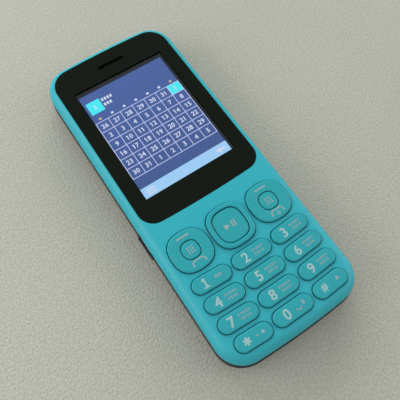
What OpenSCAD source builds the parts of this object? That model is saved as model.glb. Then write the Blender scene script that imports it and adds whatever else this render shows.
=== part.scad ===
// Feature phone with a number pad, lying on its back.
// X runs across the phone, Y towards the earpiece and Z up through the screen.

/* [Body] */
// Space from the number pad to each side of the body
key_margin = 3.9; // [3.6:0.1:6]
// Room beside the screen's glass for the screws and the wall
screen_room = 6.64; // [6.4:0.02:9]
// Room below the battery for the loudspeaker and the motor
foot_room = 26.9; // [26.4:0.1:32]
// Corner radius seen from the front
corner_r = 9.8; // [9:0.2:11]
// Angle by which each half of the gently bowed ends turns
end_angle = 3.4; // [2:0.1:5]
// Radius of the front shell's outer edge
front_edge_r = 3.5; // [2:0.1:4]
// Radius of the rear cover's lower edge
back_edge_r = 3.8; // [2.4:0.1:4.4]
// Height of the front shell's side
front_side_h = 5.5; // [5.2:0.1:5.8]
// Wall thickness of the two shells
wall_t = 1.2; // [1:0.1:1.4]
// Thickness of the front plate
plate_t = 1.8; // [1.6:0.1:2]
// Thickness of the rear cover's back
floor_t = 1.1; // [0.8:0.1:1.3]
// Gap at the seam between the two shells
seam_gap = 0.15; // [0.1:0.05:0.3]
// Clearance between the rear cover and what it wraps
cover_gap = 0.2; // [0.15:0.05:0.3]
// How far the rear cover's foot stands out past the front shell
cover_lip = 0.6; // [0:0.1:0.8]

/* [Display] */
// Lit screen width
screen_w = 36.72; // [34:0.02:40]
// Lit screen length
screen_l = 48.96; // [46:0.02:54]
// Space between the lit screen and the sides of the clear window
window_side = 0.54; // [0.3:0.02:0.8]
// Space between the lit screen and the ends of the clear window
window_end = 0.82; // [0.5:0.02:1]
// Distance of the window below the lens's top edge
window_drop = 11.75; // [11.2:0.05:14]
// Dark border of the lens below the window
lens_foot = 9.9; // [8:0.1:12]
// Border of the front shell beside the lens
lens_border = 2.65; // [2.6:0.05:3.6]
// Distance of the lens's top edge from the top end
lens_from_top = 2.65; // [2.6:0.05:5]
// Corner radius at the lens's top
lens_top_corner_r = 7.5; // [5:0.1:9]
// Corner radius at the lens's foot
lens_foot_corner_r = 6; // [4:0.1:8]
// Angle by which each half of the lens's bowed ends turns
lens_end_angle = 2.6; // [1.5:0.1:4]
// Thickness of the front lens
lens_t = 1; // [0.8:0.1:1.1]
// How far the lens stands above the front
lens_proud = 0.05; // [0:0.05:0.2]
// Earpiece slot width
slot_w = 11.2; // [8:0.1:13]
// Earpiece slot height
slot_h = 1.5; // [1.2:0.1:1.8]
// Distance of the slot below the lens's top edge
slot_drop = 6.15; // [4.6:0.05:6.3]

/* [Keys] */
// Gap round each key
key_gap = 0.3; // [0.2:0.05:0.4]
// How far a number key stands above the front
key_proud = 0.75; // [0.1:0.05:0.9]
// How far a key travels when pressed
key_travel = 0.3; // [0.2:0.05:0.35]
// Height of a number key
key_h = 5.45; // [4.8:0.05:6.2]
// Width of a number key in the middle column
middle_key_w = 14.75; // [13.5:0.05:16]
// Width of a number key in the outer columns
outer_key_w = 14.2; // [13:0.05:15.5]
// How much shorter the outer keys of the last row are
last_key_cut = 1.1; // [0:0.05:2]
// Space between two columns of number keys
column_gap = 1.425; // [1.3:0.025:2]
// Space between two rows of number keys
row_gap = 1.8; // [1.7:0.05:2.4]
// Turn of the outer keys, in degrees
row_tilt = 3; // [0:0.5:4]
// Distance of the last row's centre from the bottom end
last_row_from_end = 6.95; // [6.8:0.05:8]
// Width of the navigation ring
ring_w = 14.9; // [14:0.1:16]
// Height of the navigation ring
ring_h = 15.2; // [14:0.1:16.4]
// Width of the ring's rim at its left and right
ring_side_rim = 1.975; // [1.8:0.025:2.4]
// Width of the ring's rim at its top and bottom
ring_end_rim = 1.825; // [1.7:0.025:2.4]
// How far the navigation ring stands above the front
ring_proud = 1; // [0.3:0.05:1.2]
// Width of each big key beside the ring
rocker_w = 14.65; // [14:0.05:15.6]
// Height of each big key beside the ring
rocker_h = 14.45; // [14:0.05:15.6]
// Space between the ring and a big key beside it
rocker_gap = 1.325; // [1.2:0.025:2]
// Space between the big keys and the first row of numbers
big_row_gap = 1.625; // [1.5:0.025:2.4]
// Space between the lens and the navigation ring
lens_to_ring = 5.665; // [3:0.005:8]
// Size of the small key inside each big key
menu_key_w = 6.1; // [5.6:0.05:6.4]

/* [Inside] */
// Room between the front plate and the board
stack_h = 2.9; // [2.9:0.05:3.2]
// Thickness of the board
board_t = 1; // [0.8:0.1:1.2]
// Battery width
battery_w = 35; // [33:0.5:36.5]
// Battery length
battery_l = 53; // [50:0.5:58]
// Battery thickness
battery_t = 5.2; // [4.8:0.1:6]
// Distance of the battery's upper end from the top end
battery_from_top = 48.9; // [48.7:0.1:52]
// Radius of the headphone socket's bore
jack_bore_r = 1.85; // [1.8:0.01:1.9]
// Depth of the headphone socket's bore
jack_bore_l = 14; // [13:0.5:15]
// Radius of the case screws' threads
screw_r = 0.7; // [0.6:0.05:0.8]

/* [Hidden] */
$fn = 96;
over = 1;              // extra length that carries a cut past a face
touch = 0.05;          // gap between pieces that are assembled against each other
slip = 0.3;            // gap round a component that drops into a window

// Screen and lens, from the lit screen outwards
glass_side = 1.9;
glass_head = 2.4;
glass_foot = 4.4;
glass_w = screen_w + 2 * glass_side;
glass_l = screen_l + glass_head + glass_foot;
window_w = screen_w + 2 * window_side;
window_l = screen_l + 2 * window_end;
screen_drop = 0.2;     // how far the lit screen's middle sits below the window's

// Number pad and the big keys above it
last_key_w = outer_key_w - last_key_cut;
column_pitch = (middle_key_w + outer_key_w) / 2 + column_gap;
row_pitch = key_h + row_gap;
rocker_pitch = (ring_w + rocker_w) / 2 + rocker_gap;
big_key_h = max(ring_h, rocker_h);
big_key_rise = (key_h + big_key_h) / 2 + big_row_gap;
centre_key_w = ring_w - 2 * ring_side_rim;
centre_key_h = ring_h - 2 * ring_end_rim;
last_row = 3;

// Body round the larger of the two stacks in each direction
body_w = max(2 * column_pitch + outer_key_w + 2 * key_margin, glass_w + 2 * screen_room);
lens_w = body_w - 2 * lens_border;
lens_l = window_drop + window_l + lens_foot;
keypad_l = big_key_h / 2 + big_key_rise + last_row * row_pitch + last_row_from_end;
front_l = lens_from_top + lens_l + lens_to_ring + keypad_l;
inside_l = battery_from_top + battery_l + foot_room;
end_arc_r = arc_end_r(body_w, corner_r, end_angle);
end_l = corner_r + (end_arc_r - corner_r) * (1 - cos(end_angle));
length_step = 0.02;    // the straight sides are a whole number of these long
side_l = length_step * round((max(front_l, inside_l) - 2 * end_l) / length_step);
body_l = side_l + 2 * end_l;

// Thickness, from the back up
battery_room = 0.5;    // room below the battery
board_seat = 0.15;     // gap between the board and the chassis
chassis_t = 0.85;
back_stack_h = floor_t + battery_room + battery_t + 2 * touch + chassis_t + board_seat;
body_t = back_stack_h + board_t + stack_h + plate_t;

// Levels, from the front down
front_z = body_t;
plate_z = front_z - plate_t;
seam_z = front_z - front_side_h;
lens_top_z = front_z + lens_proud;
lens_z = lens_top_z - lens_t;
tape_t = 0.15;
lens_seat_z = lens_z - tape_t;
board_top_z = plate_z - stack_h;
board_z = board_top_z - board_t;
chassis_z = board_z - board_seat - chassis_t;
battery_top_z = chassis_z - 2 * touch;

// Plan places
lens_y = body_l / 2 - lens_from_top - lens_l / 2;
lens_top_y = body_l / 2 - lens_from_top;
window_y = lens_top_y - window_drop - window_l / 2;
slot_y = lens_top_y - slot_drop;
last_row_y = last_row_from_end - body_l / 2;
big_key_y = last_row_y + last_row * row_pitch + big_key_rise;
rim_w = 7;             // width of the swept edge of each shell
rim_overlap = 1;       // how far a flat plate runs into the swept edge

// Key build
flange_out = 0.55;     // how far a key's flange reaches under its surround
flange_t = 0.5;
rest_gap = 0.15;       // gap above a number key's flange at rest
rock_room = 0.4;       // gap above a rocking key's flange at rest
pocket_gap = 0.4;      // room round a small key's flange inside a bigger key
ridge_r = 0.3;         // radius of the ridge on which a key rocks
ridge_l = 2.2;
small_drop = 0.05;     // top of a small key's flange below the plate
key_flange_z = plate_z - rest_gap - flange_t;
rock_flange_z = plate_z - rock_room - flange_t;
small_flange_z = plate_z - small_drop - flange_t;
pocket_top_z = plate_z + pocket_gap;
key_pad_z = key_flange_z - key_travel - rest_gap;
small_pad_z = small_flange_z - key_travel - rest_gap;
rock_pad_z = rock_flange_z - ridge_r - 2 * touch;
actuator_t = 0.4;
actuator_z = rock_pad_z - actuator_t;
actuator_ridge_r = 0.25;
sheet_t = 0.4;
sheet_top_z = actuator_z - actuator_ridge_r - 2 * touch;
sheet_z = sheet_top_z - sheet_t;
dome_h = sheet_z - board_top_z - 2 * touch;
dome_r = 1.8;
dome_crown_r = 0.9;
big_dome_reach = 5.6;  // distance of a rocking key's switches from its middle

// Corner and side radii of the square-round keys
ring_corner_r = 4.9;
ring_side_r = 20;
centre_corner_r = 3.7;
centre_side_r = 18;
rocker_corner_r = 5.4;
rocker_side_r = 13.4;
menu_corner_r = 2.2;
menu_side_r = 6.2;

// Places of the number keys: name, column and row
KEYS = [
    ["key_1", -1, 0], ["key_2", 0, 0], ["key_3", 1, 0],
    ["key_4", -1, 1], ["key_5", 0, 1], ["key_6", 1, 1],
    ["key_7", -1, 2], ["key_8", 0, 2], ["key_9", 1, 2],
    ["key_star", -1, 3], ["key_0", 0, 3], ["key_hash", 1, 3]
];
row_rise = 0.15;       // how far the outer keys sit above the middle one

// Steps used to draw the arcs of an outline
corner_steps = 12;
side_steps = 5;

// Colours
shell_colour = "#38b0c4";
black_colour = "#151617";
frame_colour = "#2a2b2d";
lens_colour = "#0e1011";
metal_colour = "silver";
screen_colour = "#5060b0";

// Shell details
chassis_top_z = chassis_z + chassis_t;
cover_top_z = seam_z - seam_gap;
hollow_steps = 3;
boss_r = 1.9;
top_boss_x = body_w / 2 - 6.4;
top_boss_y = body_l / 2 - 6.9;
side_boss_x = body_w / 2 - 3.6;
side_boss_y = body_l / 2 - 62.4;
BOSSES = [for (side = [-1, 1], top = [true, false])
    top ? [side * top_boss_x, top_boss_y] : [side * side_boss_x, side_boss_y]];
skirt_t = 1.1;
skirt_z = floor_t + back_edge_r - wall_t + slip;
screw_head_r = 1.3;
screw_head_h = 1;
screw_seat_drop = 0.9; // screw seats below the chassis plate's underside
screw_recess = 0.6;
screw_seat_z = chassis_z - screw_seat_drop;
screw_post_z = screw_seat_z - screw_head_h - screw_recess;

// Screen details
lens_gap = 0.1;
window_margin = 0.6;   // how far the hole in the front plate runs past the clear window
tape_inset = 0.3;
mesh_t = 0.25;
mesh_lap = 0.8;
mesh_pitch = 0.85;
mesh_hole_r = 0.28;
earpiece_w = 13.5;
earpiece_h = 5.6;
screen_y = window_y - screen_drop;
gasket_t = 0.35;
glass_t = 1.3;
glass_y = screen_y + (glass_head - glass_foot) / 2;
glass_top_z = plate_z - gasket_t;
glass_z = glass_top_z - glass_t;
frame_wall = 0.6;
flex_w = 14;
flex_t = 0.15;
flex_run = 2.2;
flex_foot = 3;

// Keypad details
centre_proud = 0.7;
rocker_ridge_in = menu_key_w / 2 + flange_out + key_gap + touch;
centre_pad_r = 1.5;
menu_pad_r = 1.2;
nav_dome_reach = 6.6;
membrane_gap = 0.9;

// Board details; parts bought whole keep their size, and their places follow the body
board_gap = 0.5;
board_end_gap = 2.9;
can_w = 15;
can_l = 9;
can_h = 1.6;
can_t = 0.25;
can_x = body_w / 2 - 12.9;
can_y = body_l / 2 - 22.9;
speaker_w = 17;
speaker_l = 12;
speaker_h = 4.4;
speaker_lip = 0.8;
speaker_y = 12.9 - body_l / 2;
grille_pitch = 2.4;
grille_slot_w = 1;
grille_slot_l = 8;
motor_r = 2.1;
motor_l = 7.5;
motor_shaft_r = 0.4;
motor_x = body_w / 2 - 8.4;
motor_y = 18.7 - body_l / 2;
motor_z = board_z - motor_r - 2 * touch;
weight_r = 1.9;
weight_l = 4.8;
mic_x = -7;
mic_y = 5.2 - body_l / 2;
mic_r = 2;
mic_h = 1.5;
mic_hole_r = 0.5;
mic_hole_rise = 1;
camera_w = 8;
camera_y = body_l / 2 - 14.4;
camera_r = 4.4;
camera_barrel_r = 3;
camera_z = 3.2;
camera_recess = 0.15;
camera_glass_t = 0.85;
torch_x = -9.5;
torch_r = 1.6;
torch_led_w = 3;
torch_led_h = 1;
battery_y = body_l / 2 - battery_from_top - battery_l / 2;
bay_t = 1;
bay_z = floor_t + cover_gap;
contact_w = 10;
contact_l = 2.6;
contact_pitch = 2.8;
contact_z = 3.4;
blade_w = 0.8;
blade_out = 0.3;
contact_y = battery_y + battery_l / 2 + blade_out + 2 * touch + contact_l / 2;
sim_w = 14;
sim_l = 16;
memory_w = 12.5;
memory_l = 15;
card_y = contact_y + contact_l / 2 + 1 + sim_l / 2;
card_pitch = sim_w + 1.9;
card_h = 1.6;
card_wall = 0.8;
card_lip = 1.2;
antenna_w = 12;
antenna_l = 15;
antenna_t = 0.3;
antenna_x = 10.4 - body_w / 2;
antenna_y = 13.4 - body_l / 2;
antenna_leg_w = 2;
antenna_leg_l = 1;
antenna_leg_y = antenna_y + (antenna_l - antenna_leg_l) / 2;

// Socket details
socket_top_z = board_z - touch;
usb_y = 51.6 - body_l / 2;
usb_w = 7.6;
usb_h = 2.7;
usb_t = 0.3;
usb_depth = 5.6;
usb_recess = 0.3;
usb_proud = 0.5;
usb_bezel_l = 9.4;
usb_bezel_z = 3.9;
usb_bezel_in = 1.4;
jack_x = body_w / 2 - 13.4;
jack_nose_r = 3;
jack_z = socket_top_z - jack_nose_r;
jack_recess = 0.35;
jack_mouth_y = body_l / 2 - end_arc_r + sqrt(end_arc_r * end_arc_r - jack_x * jack_x) - jack_recess;
jack_l = jack_bore_l + wall_t;

// Points along an arc, from one angle up to but not including another
function arc_points(centre, r, from, to, steps) =
    [for (i = [0 : steps - 1]) let (a = from + (to - from) * i / steps) centre + r * [cos(a), sin(a)]];

// A whole outline from the first quarters of its top and its foot, with no point on an axis
function two_ends(top, foot) = concat(
    top,
    [for (i = [len(top) - 1 : -1 : 0]) [-top[i].x, top[i].y]],
    [for (p = foot) -p],
    [for (i = [len(foot) - 1 : -1 : 0]) [foot[i].x, -foot[i].y]]);

// A whole outline that is the same in all four quarters
function four_quarters(q) = two_ends(q, q);

// Radius of the bowed end of an outline with straight sides
function arc_end_r(w, r, angle) = r + (w / 2 - r) / sin(angle);

// Centre of the corner arc of a square-round outline whose four sides are arcs
function square_round_corner(w, h, r, side_r) =
    let (
        a = side_r - w / 2,
        b = side_r - h / 2,
        half = norm([a, b]) / 2,
        reach = sqrt(pow(side_r - r, 2) - half * half)
    )
    [-a / 2 + b / (2 * half) * reach, -b / 2 + a / (2 * half) * reach];

// First quarter of an outline with straight sides, round corners and gently bowed ends
function arc_end_quarter(w, h, r, angle) =
    let (
        end_r = arc_end_r(w, r, angle),
        corner = [0, h / 2 - end_r] + (end_r - r) * [sin(angle), cos(angle)]
    )
    concat(
        arc_points(corner, r, 0, 90 - angle, corner_steps),
        arc_points([0, h / 2 - end_r], end_r, 90 - angle, 90, side_steps));

// Outline whose four corners are alike
module arc_end_outline(w, h, r, angle) {
    polygon(four_quarters(arc_end_quarter(w, h, r, angle)));
}

// Square-round outline: four side arcs and four corner arcs that run into each other
module square_round(w, h, r, side_r) {
    c = square_round_corner(w, h, r, side_r);
    low = atan2(c.y, c.x - w / 2 + side_r);
    high = atan2(c.y - h / 2 + side_r, c.x);
    polygon(four_quarters(concat(
        arc_points([w / 2 - side_r, 0], side_r, low / side_steps, low, side_steps - 1),
        arc_points(c, r, low, high, corner_steps),
        arc_points([0, h / 2 - side_r], side_r, high, 90, side_steps))));
}

// A square-round outline grown outwards all round
module grown_square_round(w, h, r, side_r, grow) {
    square_round(w + 2 * grow, h + 2 * grow, r + grow, side_r + grow);
}

// Pill outline with round ends
module pill(w, h) {
    square([w - h, h], center = true);
    for (x = [-1, 1]) translate([x * (w - h) / 2, 0]) circle(h / 2);
}

// Plan of the phone, drawn in by an inset
module body_outline(inset) {
    arc_end_outline(body_w - 2 * inset, body_l - 2 * inset, corner_r - inset, end_angle);
}

// Plan of the front lens, grown outwards all round
module lens_outline(grow) {
    w = lens_w + 2 * grow;
    h = lens_l + 2 * grow;
    translate([0, lens_y])
        polygon(two_ends(
            arc_end_quarter(w, h, lens_top_corner_r + grow, lens_end_angle),
            arc_end_quarter(w, h, lens_foot_corner_r + grow, lens_end_angle)));
}

// A flat layer that starts at a height
module layer(z, h) {
    translate([0, 0, z]) linear_extrude(h) children();
}

// A block centred on a place in plan, between two heights
module block(place, size, z0, z1) {
    translate([place.x - size.x / 2, place.y - size.y / 2, z0]) cube([size.x, size.y, z1 - z0]);
}

// A round post between two heights
module post(place, r, z0, z1) {
    translate([place.x, place.y, z0]) cylinder(r = r, h = z1 - z0);
}

// Draws its children in all four quarters
module quarters() {
    for (x = [0, 1], y = [0, 1])
        mirror([x, 0, 0]) mirror([0, y, 0]) children();
}

// Draws its children on the left and the right
module both_sides() {
    for (x = [0, 1])
        mirror([x, 0, 0]) children();
}

// Moves its children by whole millimetres and then by the rest, so that long arcs meet closely
module fine_shift(p) {
    whole = [floor(p.x), floor(p.y)];
    translate(whole) translate(p - whole) children();
}

// Carries a section round the phone's outline, which a lip can make longer at its foot;
// X in the section is 0 at the outer side, negative inwards
module sweep_round_body(lip) {
    straight = side_l + lip;
    translate([0, -lip / 2, 0]) {
        quarters() {
            translate([body_w / 2 - corner_r, straight / 2])
                rotate_extrude(angle = 90 - end_angle) translate([corner_r, 0]) children();
            fine_shift([0, (body_l + lip) / 2 - end_arc_r]) rotate(90)
                rotate_extrude(angle = end_angle) fine_shift([end_arc_r, 0]) children();
        }
        both_sides() translate([body_w / 2, straight / 2, 0]) rotate([90, 0, 0])
            linear_extrude(straight) children();
    }
}

// Section of a solid edge between two heights, rounded at its upper or lower outer corner
module edge_section(z0, z1, r, upper) {
    intersection() {
        translate([-rim_w, z0]) square([rim_w, z1 - z0]);
        union() {
            translate([-rim_w, upper ? z0 : z0 + r]) square([rim_w, z1 - z0 - r]);
            translate([-rim_w, z0]) square([rim_w - r, z1 - z0]);
            translate([-r, upper ? z1 - r : z0 + r]) circle(r);
        }
    }
}

// Section of the front shell's edge
module front_section() {
    difference() {
        edge_section(seam_z, front_z, front_edge_r, true);
        translate([-rim_w - over, seam_z - over]) square([rim_w + over - wall_t, plate_z - seam_z + over]);
    }
}

module front_housing() {
    color(shell_colour) difference() {
        union() {
            sweep_round_body(0) front_section();
            layer(plate_z, plate_t) body_outline(rim_w - rim_overlap);
            for (p = BOSSES) post(p, boss_r, chassis_top_z + touch, plate_z + rim_overlap);
        }
        layer(lens_seat_z, plate_t) lens_outline(lens_gap);
        block([0, window_y], [window_w, window_l] + window_margin * [2, 2], plate_z - over, front_z);
        translate([0, slot_y]) {
            layer(lens_seat_z - mesh_t - touch, plate_t) pill(slot_w + 2 * mesh_lap, slot_h + 2 * mesh_lap);
            layer(plate_z - over, plate_t) pill(slot_w, slot_h);
        }
        layer(plate_z - over, plate_t + 2 * over) key_holes();
        for (p = BOSSES) post(p, screw_r + touch, chassis_top_z - over, plate_z);
        translate([mic_x, -body_l / 2, seam_z + mic_hole_rise])
            rotate([90, 0, 0]) cylinder(r = mic_hole_r, h = 4 * wall_t, center = true);
    }
}

// Plan of every hole that a key comes up through
module key_holes() {
    for (k = KEYS)
        key_place(k) pill(key_w(k[1], k[2]) + 2 * key_gap, key_h + 2 * key_gap);
    translate([0, big_key_y]) ring_plan(key_gap);
    for (x = [-1, 1]) translate([x * rocker_pitch, big_key_y]) rocker_plan(key_gap);
}

module rear_cover() {
    color(black_colour) difference() {
        union() {
            sweep_round_body(cover_lip) edge_section(0, cover_top_z, back_edge_r, false);
            layer(0, cover_top_z) body_outline(rim_w - rim_overlap);
        }
        cover_hollow();
        layer(-over, floor_t + 2 * over) {
            translate([0, camera_y]) circle(camera_r + cover_gap);
            translate([torch_x, camera_y]) circle(torch_r + cover_gap);
            for (i = [-2 : 2])
                translate([i * grille_pitch, speaker_y])
                    square([grille_slot_w, grille_slot_l], center = true);
        }
        translate([jack_x, body_l / 2, 0]) jack_cut(cover_gap, 2 * rim_w);
        translate([-body_w / 2, usb_y, 0]) usb_cut(cover_gap, 2 * wall_t + over);
    }
}

// Space inside the rear cover, stepped round its lower edge
module cover_hollow() {
    r = back_edge_r - wall_t;
    for (a = [0 : 90 / hollow_steps : 90]) {
        z = floor_t + r * (1 - cos(a));
        layer(z, cover_top_z + over - z) body_outline(wall_t + r * (1 - sin(a)));
    }
}

module chassis() {
    inset = wall_t + cover_gap;
    color(frame_colour) difference() {
        union() {
            layer(chassis_z, chassis_t) body_outline(inset);
            difference() {
                layer(skirt_z, chassis_z - skirt_z + touch) body_outline(inset);
                layer(skirt_z - over, chassis_z) body_outline(inset + skirt_t);
            }
            battery_bay(bay_t, bay_z, chassis_z + touch);
            for (p = BOSSES) post(p, boss_r + touch, screw_post_z, chassis_z + touch);
        }
        battery_bay(0, bay_z - over, battery_top_z + touch);
        for (p = BOSSES) {
            post(p, screw_head_r + 2 * touch, screw_post_z - over, screw_seat_z);
            post(p, screw_r + 2 * touch, screw_seat_z - touch, front_z);
        }
        chassis_windows();
        translate([jack_x, body_l / 2, 0]) jack_cut(slip, 2 * (jack_l + slip) + over);
        translate([-body_w / 2, usb_y, 0]) usb_cut(slip, 2 * usb_depth + slip);
    }
}

// Space round the battery, grown by the bay's wall
module battery_bay(grow, z0, z1) {
    size = [battery_w, battery_l] + (slip + grow) * [2, 2];
    block([0, battery_y], size, z0, z1);
}

// Openings in the chassis for what hangs below the board
module chassis_windows() {
    z0 = chassis_z - over;
    z1 = chassis_top_z + over;
    gap = slip * [2, 2];
    both_sides() block([can_x, can_y], [can_w, can_l] + gap, z0, z1);
    for (x = [-1, 0]) block([x * card_pitch, card_y], [sim_w, sim_l] + gap, z0, z1);
    block([card_pitch, card_y], [memory_w, memory_l] + gap, z0, z1);
    block([0, camera_y], [camera_w, camera_w] + gap, z0, z1);
    block([torch_x, camera_y], [torch_led_w, torch_led_w] + gap, z0, z1);
    layer(z0, z1 - z0) translate([0, speaker_y]) pill(speaker_w + 2 * slip, speaker_l + 2 * slip);
    block([motor_x, motor_y - motor_l / 2], [2 * motor_r + 2 * slip, 2 * motor_l + 2 * slip], z0, z1);
    post([mic_x, mic_y], mic_r + slip, z0, z1);
    block([0, contact_y], [contact_w, contact_l] + gap, bay_z - over, z1);
    block([antenna_x, antenna_leg_y], [antenna_leg_w, antenna_leg_l] + gap, z0, z1);
}

// Screen

module display_lens() {
    color(lens_colour) difference() {
        layer(lens_z, lens_t) lens_outline(0);
        translate([0, slot_y]) layer(lens_z - over, lens_t + 2 * over) pill(slot_w, slot_h);
    }
}

module lens_tape() {
    color(frame_colour) difference() {
        layer(lens_seat_z, tape_t) lens_outline(-tape_inset);
        block([0, window_y], [window_w, window_l] + 2 * window_margin * [2, 2], plate_z, front_z);
        translate([0, slot_y]) layer(plate_z, plate_t) pill(slot_w + 2 * mesh_lap, slot_h + 2 * mesh_lap);
    }
}

module earpiece_mesh() {
    columns = floor(slot_w / mesh_pitch);
    color(frame_colour) translate([0, slot_y]) difference() {
        layer(lens_seat_z - mesh_t, mesh_t) pill(slot_w + mesh_lap, slot_h + mesh_lap);
        for (i = [0 : columns - 1], j = [-1, 1])
            translate([(i - (columns - 1) / 2) * mesh_pitch, j * slot_h / 4, lens_seat_z - mesh_t - over])
                cylinder(r = mesh_hole_r, h = mesh_t + 2 * over);
    }
}

module earpiece() {
    color(metal_colour) translate([0, slot_y]) {
        layer(board_top_z + touch, stack_h - 2 * touch) pill(earpiece_w, earpiece_h);
    }
}

module lcd_panel() {
    color(screen_colour) block([0, glass_y], [glass_w, glass_l], glass_z, glass_top_z);
}

module lcd_frame() {
    inner = [glass_w, glass_l] + 2 * touch * [2, 2];
    color(metal_colour) difference() {
        block([0, glass_y], inner + frame_wall * [2, 2], board_top_z + touch, glass_top_z - touch);
        block([0, glass_y], inner, glass_z - touch, front_z);
        block([0, glass_y - glass_l / 2], [flex_w + 2 * slip, 4 * frame_wall], glass_z - touch, front_z);
    }
}

module lcd_gasket() {
    color(black_colour) difference() {
        block([0, glass_y], [glass_w, glass_l] - slip * [2, 2], glass_top_z, plate_z);
        block([0, window_y], [window_w, window_l] + window_margin * [2, 2], glass_z, front_z);
    }
}

// Ribbon that leaves the lower end of the panel, drops to the board and lies flat on it
module lcd_flex() {
    y0 = glass_y - glass_l / 2 - touch;
    top = glass_z + flex_t;
    low = board_top_z + touch;
    color("darkorange") translate([-flex_w / 2, 0, 0]) rotate([90, 0, 90]) linear_extrude(flex_w)
        polygon([
            [y0, glass_z], [y0, top], [y0 - flex_run, top], [y0 - flex_run, low + flex_t],
            [y0 - flex_run - flex_foot, low + flex_t], [y0 - flex_run - flex_foot, low],
            [y0 - flex_run + flex_t, low], [y0 - flex_run + flex_t, glass_z]
        ]);
}

// Keys

function key_w(col, row) = col == 0 ? middle_key_w : row == last_row ? last_key_w : outer_key_w;
function key_x(col, row) = col * (column_pitch - (outer_key_w - key_w(1, row)) / 2);
function key_y(col, row) = last_row_y + (last_row - row) * row_pitch + abs(col) * row_rise;

// Moves a shape to a number key's place and turn
module key_place(k) {
    translate([key_x(k[1], k[2]), key_y(k[1], k[2])]) rotate(row_tilt * k[1]) children();
}

module number_key(k) {
    w = key_w(k[1], k[2]);
    color(shell_colour) key_place(k) {
        layer(key_flange_z, front_z + key_proud - key_flange_z) pill(w, key_h);
        layer(key_flange_z, flange_t) pill(w + 2 * flange_out, key_h + 2 * flange_out);
    }
}

module ring_plan(grow) {
    grown_square_round(ring_w, ring_h, ring_corner_r, ring_side_r, grow);
}

module centre_plan(grow) {
    grown_square_round(centre_key_w, centre_key_h, centre_corner_r, centre_side_r, grow);
}

module rocker_plan(grow) {
    grown_square_round(rocker_w, rocker_h, rocker_corner_r, rocker_side_r, grow);
}

module menu_plan(grow) {
    grown_square_round(menu_key_w, menu_key_w, menu_corner_r, menu_side_r, grow);
}

// Two ridges in line on the X axis, from one distance out to another
module ridge_pair(from, to, r, z) {
    both_sides() translate([from, 0, z]) rotate([0, 90, 0]) cylinder(r = r, h = to - from);
}

module nav_ring() {
    inner = centre_key_h / 2 + flange_out + key_gap;
    color(shell_colour) translate([0, big_key_y, 0]) {
        difference() {
            union() {
                layer(rock_flange_z, front_z + ring_proud - rock_flange_z) ring_plan(0);
                layer(rock_flange_z, flange_t) ring_plan(flange_out);
            }
            layer(rock_flange_z - over, body_t) centre_plan(key_gap);
            layer(rock_flange_z - over, pocket_top_z - rock_flange_z + over)
                centre_plan(flange_out + key_gap);
        }
        rotate(90) ridge_pair(inner + touch, ring_h / 2 + flange_out - touch, ridge_r, rock_flange_z);
    }
}

module nav_actuator() {
    inner = centre_key_w / 2 + flange_out + key_gap;
    color(metal_colour) translate([0, big_key_y, 0]) {
        difference() {
            layer(actuator_z, actuator_t) ring_plan(0);
            layer(actuator_z - over, body_t) centre_plan(flange_out + key_gap);
        }
        ridge_pair(inner + touch, ring_w / 2 - touch, actuator_ridge_r, actuator_z);
    }
}

module nav_centre_key() {
    color(shell_colour) translate([0, big_key_y, 0]) {
        layer(small_flange_z, front_z + centre_proud - small_flange_z) centre_plan(0);
        layer(small_flange_z, flange_t) centre_plan(flange_out);
    }
}

// Big key that rocks on two ridges, with a pocket for the small key inside it
module rocker_key(side) {
    color(shell_colour) translate([side * rocker_pitch, big_key_y, 0]) {
        difference() {
            union() {
                layer(rock_flange_z, front_z + key_proud - rock_flange_z) rocker_plan(0);
                layer(rock_flange_z, flange_t) rocker_plan(flange_out);
            }
            layer(rock_flange_z - over, body_t) menu_plan(key_gap);
            layer(rock_flange_z - over, pocket_top_z - rock_flange_z + over) menu_plan(flange_out + key_gap);
        }
        ridge_pair(rocker_ridge_in, rocker_ridge_in + ridge_l, ridge_r, rock_flange_z);
    }
}

module left_rocker_key() rocker_key(-1);

module right_rocker_key() rocker_key(1);

module menu_key(side) {
    color(shell_colour) translate([side * rocker_pitch, big_key_y, 0]) {
        layer(small_flange_z, front_z + key_proud - small_flange_z) menu_plan(0);
        layer(small_flange_z, flange_t) menu_plan(flange_out);
    }
}

module left_menu_key() menu_key(-1);

module right_menu_key() menu_key(1);

// Rubber sheet under the keys, with a pad below each place that is pressed
module keypad_membrane() {
    top_y = big_key_y + rocker_h / 2 + flange_out + slip;
    color("dimgray") {
        layer(sheet_z, sheet_t) intersection() {
            body_outline(wall_t + membrane_gap);
            translate([-body_w / 2, -body_l / 2]) square([body_w, body_l / 2 + top_y]);
        }
        for (k = KEYS)
            key_place(k) layer(sheet_top_z - touch, key_pad_z - sheet_top_z + touch)
                pill(key_w(k[1], k[2]) - key_h, key_h / 2);
        post([0, big_key_y], centre_pad_r, sheet_top_z - touch, small_pad_z);
        for (side = [-1, 1]) {
            place = [side * rocker_pitch, big_key_y];
            post(place, menu_pad_r, sheet_top_z - touch, small_pad_z);
            for (x = [-1, 1])
                block(place + [x * (rocker_ridge_in + ridge_l / 2), 0], [ridge_l, 4 * ridge_r],
                    sheet_top_z - touch, rock_pad_z);
        }
    }
}

// Places of the switches under the keys
SWITCHES = concat(
    [for (k = KEYS) [key_x(k[1], k[2]), key_y(k[1], k[2])]],
    [[0, big_key_y]],
    [for (a = [0 : 90 : 270]) [0, big_key_y] + nav_dome_reach * [cos(a), sin(a)]],
    [for (x = [-1, 1], y = [-1, 0, 1]) [x * rocker_pitch, big_key_y + y * big_dome_reach]]);

module dome_switches() {
    color(metal_colour) for (p = SWITCHES)
        translate([p.x, p.y, board_top_z + touch])
            cylinder(h = dome_h - touch, r1 = dome_r, r2 = dome_crown_r);
}

// Board and what is mounted on it

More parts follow.
